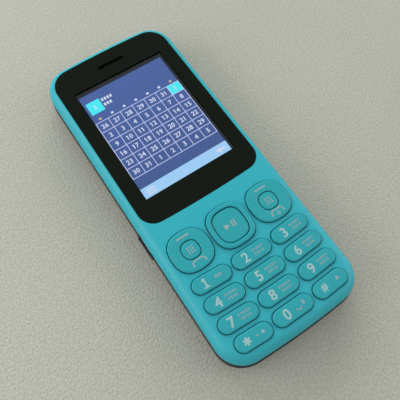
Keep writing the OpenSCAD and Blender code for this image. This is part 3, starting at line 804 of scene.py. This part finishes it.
def glyphs(text: str, height: float, low: float, high: float) -> Shape:
    """Numbers or signs as thin plates, centred on their own middle.

    Args:
        text: What is drawn.
        height: Height of the tallest sign.
        low: Height of the plates' underside.
        high: Height of the plates' top.

    Returns:
        The shape.
    """
    curve = bpy.data.curves.new("sign", "FONT")
    curve.body = text
    curve.offset = STROKE_GROWTH
    curve.extrude = 0.5
    holder = stand("sign", curve)
    bpy.context.view_layer.update()
    mesh = bpy.data.meshes.new_from_object(holder.evaluated_get(bpy.context.evaluated_depsgraph_get()))
    points = [v.co.copy() for v in mesh.vertices]
    faces = [tuple(face.vertices) for face in mesh.polygons]
    bpy.data.objects.remove(holder)
    bpy.data.curves.remove(curve)
    bpy.data.meshes.remove(mesh)
    xs, ys = [p.x for p in points], [p.y for p in points]
    scale = height / (max(ys) - min(ys))
    mid_x, mid_y = (max(xs) + min(xs)) / 2, (max(ys) + min(ys)) / 2
    spots = [((p.x - mid_x) * scale, (p.y - mid_y) * scale, low if p.z < 0 else high) for p in points]
    return Shape([Vector(spot) for spot in spots], faces)


def figure_one(foot: float) -> list[Point]:
    """Outline of the number one at a height of 1, with a flag and a foot of a given half width."""
    return [(-foot, -0.5), (foot, -0.5), (foot, -0.35), (0.09, -0.35), (0.09, 0.5), (-0.04, 0.5),
            (-0.3, 0.31), (-0.225, 0.19), (-0.09, 0.285), (-0.09, -0.35), (-foot, -0.35)]


FOUR_SLANT = ((-0.36, -0.2), (0.05, -0.2), (0.05, -0.03), (-0.115, -0.03), (0.05, 0.17), (0.05, 0.414),
              (-0.36, -0.09))
FOUR_STEM = ((0.05, -0.5), (0.235, -0.5), (0.235, -0.2), (0.335, -0.2), (0.335, -0.03), (0.235, -0.03),
             (0.235, 0.5), (0.12, 0.5), (0.05, 0.414))


def number(text: str, height: float, low: float, high: float, foot: float = NARROW_FOOT) -> Shape:
    """A number as thin plates, centred on its own middle.

    Args:
        text: Its figures.
        height: Height of a figure.
        low: Height of the plates' underside.
        high: Height of the plates' top.
        foot: Half the width of a one's foot, as a share of its height.

    Returns:
        The shape.
    """
    drawn = {"1": (figure_one(foot),), "4": (FOUR_SLANT, FOUR_STEM)}
    shape = Shape()
    for i, figure in enumerate(text):
        part = Shape() if figure in drawn else glyphs(figure, height, low, high)
        for outline in drawn.get(figure, ()):
            part.add(slab([(x * height, y * height) for x, y in outline], low, high))
        shape.add(part.moved((i - (len(text) - 1) / 2) * height * FIGURE_PITCH, 0))
    return shape


def star(reach: float, width: float) -> list[Point]:
    """Outline of a star of six bars.

    Args:
        reach: How far each bar reaches from the middle.
        width: Width of a bar.

    Returns:
        The points, counter-clockwise.
    """
    outline = []
    for turn in range(30, 390, 60):
        a, notch = math.radians(turn), math.radians(turn + 30)
        along, side = Vector((math.cos(a), math.sin(a))), Vector((-math.sin(a), math.cos(a)))
        outline += [tuple(along * reach - side * width / 2), tuple(along * reach + side * width / 2),
                    (width * math.cos(notch), width * math.sin(notch))]
    return outline


def make(name: str, shape: Shape, finish: Finish, body: str, replaced: Sequence[str] = ()) -> None:
    """Turns a shape into a piece that rides on a body.

    Args:
        name: Name of the piece.
        shape: Its mesh, in millimetres in the phone's frame.
        finish: Its finish.
        body: Body that it moves with.
        replaced: Solids that it stands for.
    """
    mesh = bpy.data.meshes.new(name)
    mesh.from_pydata([p * MM for p in shape.points], [], shape.faces)
    skin = bmesh.new()
    skin.from_mesh(mesh)
    bmesh.ops.remove_doubles(skin, verts=skin.verts, dist=WELD)
    skin.to_mesh(mesh)
    skin.free()
    mesh.materials.append(material_of(finish))
    mesh.shade_smooth()
    mesh.set_sharp_from_angle(angle=SHARP_ANGLE)
    piece = stand(name, mesh)
    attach(piece, body)
    if replaced:
        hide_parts(*replaced)
    LOG.info("piece %s: %d faces, on %s", name, len(mesh.polygons), body)


def dress(finish: Finish, *nodes: str) -> None:
    """Gives solids a finish.

    Args:
        finish: The finish.
        nodes: Names of the solids.
    """
    for name in nodes:
        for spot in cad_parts[name].material_slots:
            spot.link = "OBJECT"
            spot.material = material_of(finish)
        LOG.info("solid %s: %s", name, finish.name)


def middle_of(node: str) -> Vector:
    """Middle of a solid's box at rest, in millimetres."""
    low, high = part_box(node)
    return (low + high) / (2 * MM)


# Sub-assemblies


@dataclass
class Casing:
    """Front shell, rear cover, chassis and the lens over the screen."""

    window_w: float = 37.8
    window_l: float = 50.6
    window_y: float = 24.71

    def build(self) -> None:
        """Dresses the shells and the lens."""
        dress(SHELL, "front_housing")
        dress(BACK, "rear_cover")
        dress(INNER, "chassis")
        dress(DarkLens("dark_lens", self.window_w, self.window_l, self.window_y), "display_lens")
        dress(TAPE, "lens_tape")
        dress(DARK_STEEL, "earpiece_mesh")


@dataclass
class Screen:
    """Panel, its frame and the lit picture: a month of plain numbers in a grid."""

    width: float = 36.72
    length: float = 48.96
    middle_y: float = 24.51
    base: float = field(default_factory=lambda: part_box("lcd_panel")[1].z / MM)
    lift: float = 0.02
    border_w: float = 2.1
    border_l: float = 2.6
    border_y: float = 0.2
    columns: int = 7
    rows: int = 6
    cell_w: float = 5.2
    cell_h: float = 4.44
    grid_top: float = 35.8
    line: float = 0.27
    number_h: float = 1.9
    mark_rise: float = 1.35
    badge: float = 5.6
    badge_x: float = -14.6
    badge_y: float = 42.55
    block_gap: float = 1.22
    bar_h: float = 4.4
    icon_inset: float = 3.4
    first_number: int = 26
    last_month: int = 31

    def level(self, step: float) -> float:
        """Height of a layer of the picture, counted from the panel."""
        return self.base + self.lift * step

    def plate(self, width: float, height: float, r: float, low: float = 2, high: float = 3) -> Shape:
        """Plate with round corners between two layers."""
        return slab(round_box(width, height, r), self.level(low), self.level(high))

    def draw(self, name: str, shape: Shape, light: str, low: Colour, high: Colour | None = None) -> None:
        """Adds a lit piece to the picture.

        Args:
            name: Name of the piece.
            shape: Its mesh.
            light: Name of its finish.
            low: Colour at the lower end of the screen.
            high: Colour at the upper end, if it is another.
        """
        foot, head = self.middle_y - self.length / 2, self.middle_y + self.length / 2
        make(name, shape, Lit(light, low, high or low, foot, head), "phone")

    def cell(self, column: int, row: int) -> Point:
        """Middle of a cell of the grid, counted from the top left."""
        return (column - (self.columns - 1) / 2) * self.cell_w, self.grid_top - (row + 0.5) * self.cell_h

    def bar_y(self) -> float:
        """Middle of the bar at the foot."""
        return self.middle_y - (self.length - self.bar_h) / 2

    def numbers(self) -> list[int]:
        """Numbers of the cells, from the top left.

        Returns:
            The end of one month, all of the next and the start of a third.
        """
        before = list(range(self.first_number, self.last_month + 1))
        count = self.columns * self.rows - len(before)
        return before + [i % self.last_month + 1 for i in range(count)]

    def build(self) -> None:
        """Dresses the panel's solids and draws the picture on the panel."""
        dress(PANEL, "lcd_panel")
        dress(STEEL, "lcd_frame")
        dress(FOAM, "lcd_gasket")
        dress(RIBBON, "lcd_flex")
        self.ground()
        self.grid()
        self.highlights()
        self.signs()

    def ground(self) -> None:
        """Draws the dim border, the background and the bar at the foot."""
        border = self.plate(self.width + self.border_w, self.length + self.border_l, 0.3, 0, 0.5)
        border = border.moved(0, self.middle_y + self.border_y)
        self.draw("screen_border", border, "border_glow", (0.032, 0.038, 0.046))
        back = self.plate(self.width, self.length, 0.05, 0, 1).moved(0, self.middle_y)
        self.draw("screen_background", back, "lit_background", (0.070, 0.121, 0.315), (0.086, 0.147, 0.400))
        bar = self.plate(self.width, self.bar_h, 0.05, 1, 2).moved(0, self.bar_y())
        self.draw("screen_bar", bar, "lit_bar", (0.38, 0.67, 1.0))

    def grid(self) -> None:
        """Draws the lines between the cells."""
        wide, tall = self.columns * self.cell_w, self.rows * self.cell_h
        shape = Shape()
        for i in range(self.columns + 1):
            upright = self.plate(self.line, tall + self.line, 0.02, 1, 2)
            shape.add(upright.moved((i - self.columns / 2) * self.cell_w, self.grid_top - tall / 2))
        for i in range(self.rows + 1):
            level = self.plate(wide + self.line, self.line, 0.02, 1, 2.5)
            shape.add(level.moved(0, self.grid_top - i * self.cell_h))
        self.draw("screen_grid", shape, "lit_grid", (0.56, 0.63, 0.94), (0.60, 0.67, 0.98))

    def highlights(self) -> None:
        """Draws the two filled squares of the chosen day."""
        day = self.plate(self.cell_w - self.line, self.cell_h - self.line, 0.03, 1, 2)
        shape = day.moved(*self.cell(self.columns - 1, 0))
        shape.add(self.plate(self.badge, self.badge, 0.05, 1, 2).moved(self.badge_x, self.badge_y))
        self.draw("screen_highlights", shape, "lit_cyan", (0.08, 0.86, 1.0), (0.09, 0.90, 1.0))

    def signs(self) -> None:
        """Draws the numbers, the column marks and the signs at the foot."""
        low, high = self.level(2), self.level(3)
        shape, rest_days = Shape(), Shape()
        for i, day in enumerate(self.numbers()):
            x, y = self.cell(i % self.columns, i // self.columns)
            shape.add(number(str(day), self.number_h, low, high).moved(x, y))
        shape.add(number("1", self.number_h, low, high, WIDE_FOOT).moved(self.badge_x, self.badge_y))
        mark = self.plate(1.0, 0.9, 0.2)
        for i in range(self.columns):
            marks = rest_days if i in (0, self.columns - 1) else shape
            marks.add(mark.moved(self.cell(i, 0)[0], self.grid_top + self.mark_rise))
        block = self.plate(0.85, 1.3, 0.25)
        start = self.badge_x + self.badge / 2 + 1.0
        for y, count in ((1.5, 4), (-0.8, 3)):
            for i in range(count):
                shape.add(block.moved(start + self.block_gap * i, self.badge_y + y))
        self.draw("screen_rest_days", rest_days, "lit_sand", (0.60, 0.53, 0.32), (0.62, 0.55, 0.34))
        stroke, side = self.plate(3.6, 0.42, 0.15), self.width / 2 - self.icon_inset
        for y in (-0.95, 0.0, 0.95):
            shape.add(stroke.moved(-side, self.bar_y() + y))
        arrow = [(-1.9, 0.0), (-0.3, -1.3), (-0.3, -0.4), (1.9, -0.4), (1.9, 0.4), (-0.3, 0.4), (-0.3, 1.3)]
        shape.add(slab(arrow, low, high).moved(side, self.bar_y()))
        self.draw("screen_signs", shape, "lit_white", (0.70, 0.76, 0.98), (0.72, 0.78, 0.98))


class SmallMark(Enum):
    """What is printed beside the number on a key."""

    TICKS = "two rows of ticks"
    REELS = "two rings joined by a line"
    SPACE = "a low bracket"
    DOT = "a dash and a dot"
    PEAK = "a small triangle"


@dataclass(frozen=True)
class NumberKey:
    """One key of the number pad."""

    node: str
    sign: str
    column: int
    last_row: bool
    mark: SmallMark


@dataclass
class Keypad:
    """Keys with soft shoulders, the ring round the middle key, and what is printed on them."""

    ring: SquareRound = SquareRound(14.9, 15.2, 4.9, 20.0)
    centre: SquareRound = SquareRound(10.95, 11.55, 3.7, 18.0)
    rocker: SquareRound = SquareRound(14.65, 14.45, 5.4, 13.4)
    menu: SquareRound = SquareRound(6.1, 6.1, 2.2, 6.2)
    key_h: float = 5.45
    middle_w: float = 14.75
    outer_w: float = 14.2
    last_w: float = 13.1
    tilt: float = 3.0
    gap: float = 0.3
    flange: float = 0.55
    flange_t: float = 0.5
    key_flange_z: float = 11.15
    rock_flange_z: float = 10.9
    small_flange_z: float = 11.25
    pocket_z: float = 12.2
    key_top: float = 14.35
    ring_top: float = 14.6
    centre_top: float = 14.3
    shoulder: float = 0.55
    ring_shoulder: float = 0.7
    rocker_shoulder: float = 0.8
    drop: float = 0.25
    groove_z: float = 13.3
    groove_slope: float = 0.05
    key_skirt: float = 0.27
    rock_skirt: float = 0.18
    ridge_r: float = 0.3
    ring_ridge: Point = (6.7, 8.1)
    rocker_ridge: Point = (3.95, 6.15)
    shoulder_steps: int = 6
    ridge_steps: int = 10
    ink: float = 0.02
    sign_h: float = 3.45
    symbol_h: float = 2.691
    star_w: float = 0.62
    print_x: float = 2.5
    dot_gap: float = 0.95
    dash_y: float = 5.1
    handset_at: Point = (0.25, -4.6)
    hook_at: Point = (0.2, -5.45)

    def keys(self) -> list[NumberKey]:
        """Keys of the number pad, row by row.

        Returns:
            The keys.
        """
        signs = ("1", "2", "3", "4", "5", "6", "7", "8", "9", "star", "0", "hash")
        shown = {"star": "*", "hash": "#"}
        marks = {"1": SmallMark.REELS, "0": SmallMark.SPACE, "star": SmallMark.DOT, "hash": SmallMark.PEAK}
        return [NumberKey(f"key_{s}", shown.get(s, s), i % 3 - 1, i > 8, marks.get(s, SmallMark.TICKS))
                for i, s in enumerate(signs)]

    def shoulder_rings(self, plan: Plan, top: float, wide: float, inside: bool,
                       start: float = 0.0) -> list[list[Vector]]:
        """Rings of a soft top edge, from the side up to the top.

        Args:
            plan: Outline of the edge.
            top: Height of the top.
            wide: How far the edge reaches over the top.
            inside: Whether the edge is that of a hole.
            start: Growth of the outline at the side.

        Returns:
            The rings.
        """
        sign = 1 if inside else -1
        return [at_height(plan(start + sign * wide * (1 - x)), top - self.drop * (1 - y))
                for x, y in arc(0, 0, 1.0, 0, 90, self.shoulder_steps)]

    def side_rings(self, plan: Plan, flange_z: float, skirt: float) -> list[list[Vector]]:
        """Rings of a key's flange and side, from the bottom up to the groove's floor.

        Args:
            plan: Outline of the key.
            flange_z: Underside of its flange.
            skirt: How far the side stands out below the groove.

        Returns:
            The rings.
        """
        deck = flange_z + self.flange_t
        steps = ((self.flange, flange_z), (self.flange, deck), (skirt, deck),
                 (skirt, self.groove_z - self.groove_slope), (0.0, self.groove_z))
        return [at_height(plan(grow), z) for grow, z in steps]

    def cap(self, plan: Plan, flange_z: float, top: float, skirt: float) -> Shape:
        """A key without a hole, from the underside of its flange up to its top."""
        rings = self.side_rings(plan, flange_z, skirt)
        return loft(rings + self.shoulder_rings(plan, top, self.shoulder, False))

    def frame_cap(self, plan: Plan, hole: Plan, top: float, wide: float) -> Shape:
        """A key with a hole, and a pocket below for the flange of the key inside it.

        Args:
            plan: Its outline.
            hole: Outline of the key inside it.
            top: Height of its top.
            wide: Width of its soft edges.

        Returns:
            The shape.
        """
        pocket = self.flange + self.gap
        rings = self.side_rings(plan, self.rock_flange_z, self.rock_skirt)
        rings += self.shoulder_rings(plan, top, wide, False)
        rings += reversed(self.shoulder_rings(hole, top, wide / 2, True, self.gap))
        rings += [at_height(hole(self.gap), self.pocket_z), at_height(hole(pocket), self.pocket_z),
                  at_height(hole(pocket), self.rock_flange_z)]
        return loft(rings, closed=True)

    def ridge(self, start: float, end: float) -> Shape:
        """Half-round ridge under a rocking key, along X from one place to another."""
        section = arc(0, self.rock_flange_z, self.ridge_r, 180, 360, self.ridge_steps)
        return loft([[Vector((x, y, z)) for y, z in section] for x in (start, end)])

    def build(self) -> None:
        """Builds the keys, prints them and dresses what lies under them."""
        for key in self.keys():
            self.number_key(key)
        self.middle_keys()
        for side in ("left", "right"):
            self.big_key(side)
        dress(INNER, "nav_actuator")
        dress(RUBBER, "keypad_membrane")
        dress(STEEL, "dome_switches")

    def put(self, name: str, shape: Shape, finish: Finish, node: str, replaced: Sequence[str] = ()) -> None:
        """Adds a piece of a key."""
        make(name, shape, finish, node, replaced)

    def number_key(self, key: NumberKey) -> None:
        """Builds and prints one key of the number pad.

        Args:
            key: The key.
        """
        node, place, turn = key.node, middle_of(key.node), self.tilt * key.column
        width = self.middle_w if key.column == 0 else self.last_w if key.last_row else self.outer_w
        plan = functools.partial(pill, width, self.key_h)
        cap = self.cap(plan, self.key_flange_z, self.key_top, self.key_skirt)
        self.put(f"{node}_cap", cap.moved(place.x, place.y, turn), KEY, node, [node])
        sign = self.sign(key.sign).moved(-self.print_x, 0)
        self.put(f"{node}_sign", sign.moved(place.x, place.y, turn), INK, node)
        mark = self.small_mark(key.mark).moved(self.print_x, 0)
        ink = FAINT_INK if key.mark is SmallMark.TICKS else SOFT_INK
        self.put(f"{node}_mark", mark.moved(place.x, place.y, turn), ink, node)

    def sign(self, text: str) -> Shape:
        """The number, star or hash on a key.

        Args:
            text: Which one.

        Returns:
            The shape, centred on its own middle.
        """
        if text.isdigit():
            return number(text, self.sign_h, *self.span(), WIDE_FOOT)
        if text == "*":
            return self.printed(star(self.symbol_h / 2, self.star_w))
        return glyphs(text, self.symbol_h, *self.span())

    def span(self, top: float | None = None) -> Point:
        """Heights of a print's underside and top, on a number key unless a height is given."""
        level = top or self.key_top
        return level - self.ink, level + self.ink

    def printed(self, outline: Sequence[Point], top: float | None = None) -> Shape:
        """A printed patch on a number key, or on a key whose height is given."""
        return slab(outline, *self.span(top))

    def block(self, x: float, y: float, width: float, height: float, r: float) -> Shape:
        """A printed rectangle with round corners, centred on a place."""
        return self.printed(round_box(width, height, r)).moved(x, y)

    def printed_ring(self, outside: float, inside: float) -> Shape:
        """A printed ring between two radii."""
        low, high = self.span()
        return washer(((outside, low), (outside, high), (inside, high), (inside, low)), 24)

    def small_mark(self, mark: SmallMark) -> Shape:
        """The small print beside a number.

        Args:
            mark: Which one.

        Returns:
            The shape, centred on its own middle.
        """
        shape = Shape()
        if mark is SmallMark.TICKS:
            for y, count in ((0.72, 5), (-0.72, 4)):
                for i in range(count):
                    height = 0.9 if (i + count) % 3 else 0.66
                    shape.add(self.block((i - (count - 1) / 2) * self.dot_gap, y, 0.6, height, 0.14))
        elif mark is SmallMark.REELS:
            for x in (-0.75, 0.75):
                shape.add(self.printed_ring(0.5, 0.28).moved(x, 0.3))
            shape.add(self.block(0, -0.16, 1.5, 0.2, 0.06))
        elif mark is SmallMark.SPACE:
            for spot in ((-0.6, -0.9, 2.2, 0.32, 0.1), (-1.55, -0.6, 0.32, 0.8, 0.1),
                         (0.35, -0.6, 0.32, 0.8, 0.1), (1.7, 0.4, 0.7, 1.5, 0.2)):
                shape.add(self.block(*spot))
        elif mark is SmallMark.DOT:
            shape.add(self.block(-1.2, 0, 1.0, 0.3, 0.1))
            shape.add(self.printed(pill(1.2, 1.1)).moved(0.9, 0.1))
        else:
            shape.add(self.printed([(-0.75, -0.5), (0.75, -0.5), (0.0, 0.75)]).moved(0.4, 0.2))
        return shape

    def middle_keys(self) -> None:
        """Builds the navigation ring and the key inside it."""
        place = middle_of("nav_ring")
        ring = self.frame_cap(self.ring, self.centre, self.ring_top, self.ring_shoulder)
        for turn in (90, 270):
            ring.add(self.ridge(*self.ring_ridge).moved(0, 0, turn))
        self.put("nav_ring_cap", ring.moved(place.x, place.y), RIM, "nav_ring", ["nav_ring"])
        centre = self.cap(self.centre, self.small_flange_z, self.centre_top, self.rock_skirt)
        self.put("nav_centre_cap", centre.moved(place.x, place.y), KEY, "nav_centre_key", ["nav_centre_key"])
        sign = self.printed([(-0.95, 1.15), (-0.95, -1.15), (0.95, 0.0)], self.centre_top).moved(-1.35, 0)
        for x in (0.75, 1.75):
            sign.add(self.printed(round_box(0.5, 2.4, 0.12), self.centre_top).moved(x, 0))
        self.put("nav_centre_sign", sign.moved(place.x, place.y), SOFT_INK, "nav_centre_key")

    def handset(self) -> Shape:
        """Plain sign of a telephone's handset, lying down.

        Returns:
            The shape, centred on its own middle.
        """
        x, y, outside, inside = 1.35, -0.3, 1.2, 0.78
        outer = arc(x, y, outside, 5, 90, 7) + arc(-x, y, outside, 90, 175, 7)
        inner = arc(-x, y, inside, 175, 90, 7) + arc(x, y, inside, 90, 5, 7)
        left_end, right_end = [(-2.68, -0.95), (-1.98, -1.0)], [(1.98, -1.0), (2.68, -0.95)]
        return self.printed(outer + left_end + inner + right_end)

    def big_key(self, side: str) -> None:
        """Builds a big key with the small key inside it.

        Args:
            side: Left or right.
        """
        node, inner = f"{side}_rocker_key", f"{side}_menu_key"
        place = middle_of(node)
        shape = self.frame_cap(self.rocker, self.menu, self.key_top, self.rocker_shoulder)
        for turn in (0, 180):
            shape.add(self.ridge(*self.rocker_ridge).moved(0, 0, turn))
        self.put(f"{node}_cap", shape.moved(place.x, place.y), KEY, node, [node])
        sign = self.block(0, self.dash_y, 4.7, 0.5, 0.12).add(self.handset().moved(*self.handset_at))
        if side == "right":
            sign.add(self.printed_ring(0.62, 0.36).moved(*self.hook_at))
        self.put(f"{node}_sign", sign.moved(place.x, place.y), SOFT_INK, node)
        small = self.cap(self.menu, self.small_flange_z, self.key_top, self.rock_skirt)
        self.put(f"{inner}_cap", small.moved(place.x, place.y), KEY, inner, [inner])
        dots = Shape()
        for i in range(9):
            x, y = (i % 3 - 1) * self.dot_gap, (i // 3 - 1) * self.dot_gap
            dots.add(self.block(x, y, 0.55, 0.55, 0.16))
        self.put(f"{inner}_sign", dots.moved(place.x, place.y), SOFT_INK, inner)


@dataclass
class Inside:
    """Board, battery and the parts mounted between the shells."""

    tongue_l: float = 3.9
    tongue_w: float = 4.6
    tongue_t: float = 0.6
    tongue_inset: float = 0.35
    tongue_rise: float = 0.2
    contact_count: int = 5
    contact_l: float = 3.4
    contact_w: float = 0.4
    contact_gap: float = 0.8
    jack_axis: float = 3.0
    camera_rim: float = 3.5
    iris_r: float = 1.0
    ring_r: float = 1.6
    ring_half_t: float = 0.02

    def build(self) -> None:
        """Dresses the inner solids and adds what the sockets hold."""
        dress(BOARD, "main_board")
        dress(STEEL, "shield_cans", "sim_holders", "memory_card_holder", "vibration_motor", "usb_port",
              "case_screws")
        dress(SINTERED, "vibration_weight")
        dress(SOCKET, "earpiece", "loudspeaker", "microphone", "camera_module", "usb_bezel", "audio_jack")
        dress(GILT, "battery_contacts", "antenna")
        dress(LAMP, "torch_led")
        camera, torch = middle_of("camera_window"), middle_of("torch_lens")
        dress(RoundGlass("camera_glass", camera.x, camera.y, self.camera_rim, (0.01, 0.01, 0.012),
                         (0.16, 0.16, 0.17), 0.35), "camera_window")
        dress(RingedLens("torch_plastic", torch.x, torch.y, (0.86, 0.86, 0.80), (0.95, 0.95, 0.9)),
              "torch_lens")
        low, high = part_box("battery")
        dress(Wrap("battery_wrap", (0.52, 0.54, 0.56), (0.03, 0.05, 0.10), (0.16, 0.20, 0.28), low.y / MM,
                   high.y / MM), "battery")
        self.data_socket()
        self.jack_collar()
        self.camera_ring()

    def data_socket(self) -> None:
        """Builds the tongue and its contacts inside the data socket."""
        place, back = middle_of("usb_port"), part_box("usb_port")[1].x / MM
        x, z = back - self.tongue_inset - self.tongue_l / 2, place.z + self.tongue_rise
        tongue = slab(round_box(self.tongue_l, self.tongue_w, 0.15), z, z + self.tongue_t)
        make("data_socket_tongue", tongue.moved(x, place.y), SOCKET, "phone")
        strip, strips = slab(round_box(self.contact_l, self.contact_w, 0.08), z - 0.06, z + 0.02), Shape()
        for i in range(self.contact_count):
            strips.add(strip.moved(x, place.y + (i - (self.contact_count - 1) / 2) * self.contact_gap))
        make("data_socket_contacts", strips, GILT, "phone")

    def jack_collar(self) -> None:
        """Builds the metal collar inside the headphone socket."""
        x, mouth = middle_of("audio_jack").x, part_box("audio_jack")[1] / MM
        z = mouth.z - self.jack_axis
        steps = ((1.84, -0.5), (1.84, -2.1), (1.72, -2.1), (1.72, -0.7))
        rings = [[Vector((x + px, mouth.y + y, z + pz)) for px, pz in circle(r, 48)] for r, y in steps]
        make("headphone_collar", loft(rings, closed=True), STEEL, "phone")

    def camera_ring(self) -> None:
        """Builds the ring behind the camera's glass."""
        place, level = middle_of("camera_window"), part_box("camera_module")[0].z / MM
        low, high, iris, edge = level - self.ring_half_t, level + self.ring_half_t, self.iris_r, self.ring_r
        ring = washer(((iris, low), (edge, low), (edge, high), (iris, high)), 48)
        make("camera_ring", ring.moved(place.x, place.y), STEEL, "phone")


@dataclass(frozen=True)
class SoftLamp:
    """Wide lamp that faces the phone, with its place and size in metres and its power in watts."""

    name: str
    place: Triple
    power: float
    width: float
    height: float
    mirrored: bool = True

    def hang(self) -> None:
        """Adds the lamp to the scene; shiny faces mirror it only where that is asked for."""
        light = bpy.data.lights.new(self.name, "AREA")
        light.energy = self.power
        light.shape = "RECTANGLE"
        light.size = self.width
        light.size_y = self.height
        holder = stand(self.name, light)
        holder.location = self.place
        holder.visible_glossy = self.mirrored
        holder.rotation_euler = (-Vector(self.place)).to_track_quat("-Z", "Y").to_euler()


@dataclass
class Studio:
    """Floor, soft light and the camera."""

    place: Triple = (-0.04694, -0.05484, 0.16472)
    right: Triple = (0.83770, -0.54599, 0.01206)
    down: Triple = (-0.50207, -0.77863, -0.37638)
    focal: float = 42.63
    sensor: float = 36.0
    shift_x: float = 0.0768
    shift_y: float = -0.0047
    clip_start: float = 0.005
    sky: float = 0.44
    sky_colour: Colour = (1.0, 0.99, 0.96)
    opening_w: float = 44.5
    opening_l: float = 118.5
    opening_r: float = 6.0
    floor_reach: float = 1500.0
    lamps: tuple[SoftLamp, ...] = (
        SoftLamp("head_lamp", (0.24, 0.73, 0.32), 5.6, 1.05, 0.4, mirrored=False),
        SoftLamp("left_lamp", (-0.36, 0.12, 0.21), 1.0, 0.45, 0.22),
        SoftLamp("right_lamp", (0.46, -0.18, 0.23), 0.8, 0.5, 0.3),
    )

    def build(self) -> None:
        """Sets up the floor, the light and the camera."""
        bpy.context.scene.view_settings.view_transform = "Standard"
        self.floor()
        self.light()
        self.camera()

    def floor(self) -> None:
        """Lays a wide pale floor round the flat back; it sinks with the cover that lies on it."""
        opening = at_height(round_box(self.opening_w, self.opening_l, self.opening_r), 0.0)
        far = [p.normalized() * self.floor_reach for p in opening]
        count = len(opening)
        faces = [(i, i + count, (i + 1) % count + count, (i + 1) % count) for i in range(count)]
        mesh = bpy.data.meshes.new("floor")
        mesh.from_pydata([p * MM for p in opening + far], [], faces)
        mesh.materials.append(material_of(FLOOR))
        floor = stand("floor", mesh)
        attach(floor, "rear_cover")

    def light(self) -> None:
        """Hangs the lamps and sets an even sky."""
        for lamp in self.lamps:
            lamp.hang()
        world = bpy.data.worlds.new("even_sky")
        world.use_nodes = True
        sky = world.node_tree.nodes["Background"]
        sky.inputs["Color"].default_value = (*self.sky_colour, 1.0)
        sky.inputs["Strength"].default_value = self.sky
        bpy.context.scene.world = world

    def camera(self) -> None:
        """Places the camera."""
        right, down = Vector(self.right), Vector(self.down)
        turn = Matrix((right, -down, right.cross(-down))).transposed().to_4x4()
        lens = bpy.data.cameras.new("camera")
        lens.lens = self.focal
        lens.sensor_width = self.sensor
        lens.shift_x = self.shift_x
        lens.shift_y = self.shift_y
        lens.clip_start = self.clip_start
        holder = stand("camera", lens)
        holder.matrix_world = Matrix.Translation(self.place) @ turn
        bpy.context.scene.camera = holder


def main() -> None:
    """Builds every sub-assembly in turn."""
    logging.basicConfig(level=logging.INFO, format="%(message)s")
    for assembly in (Studio(), Casing(), Screen(), Keypad(), Inside()):
        LOG.info("building %s", type(assembly).__name__)
        assembly.build()


if __name__ == "__main__":
    main()
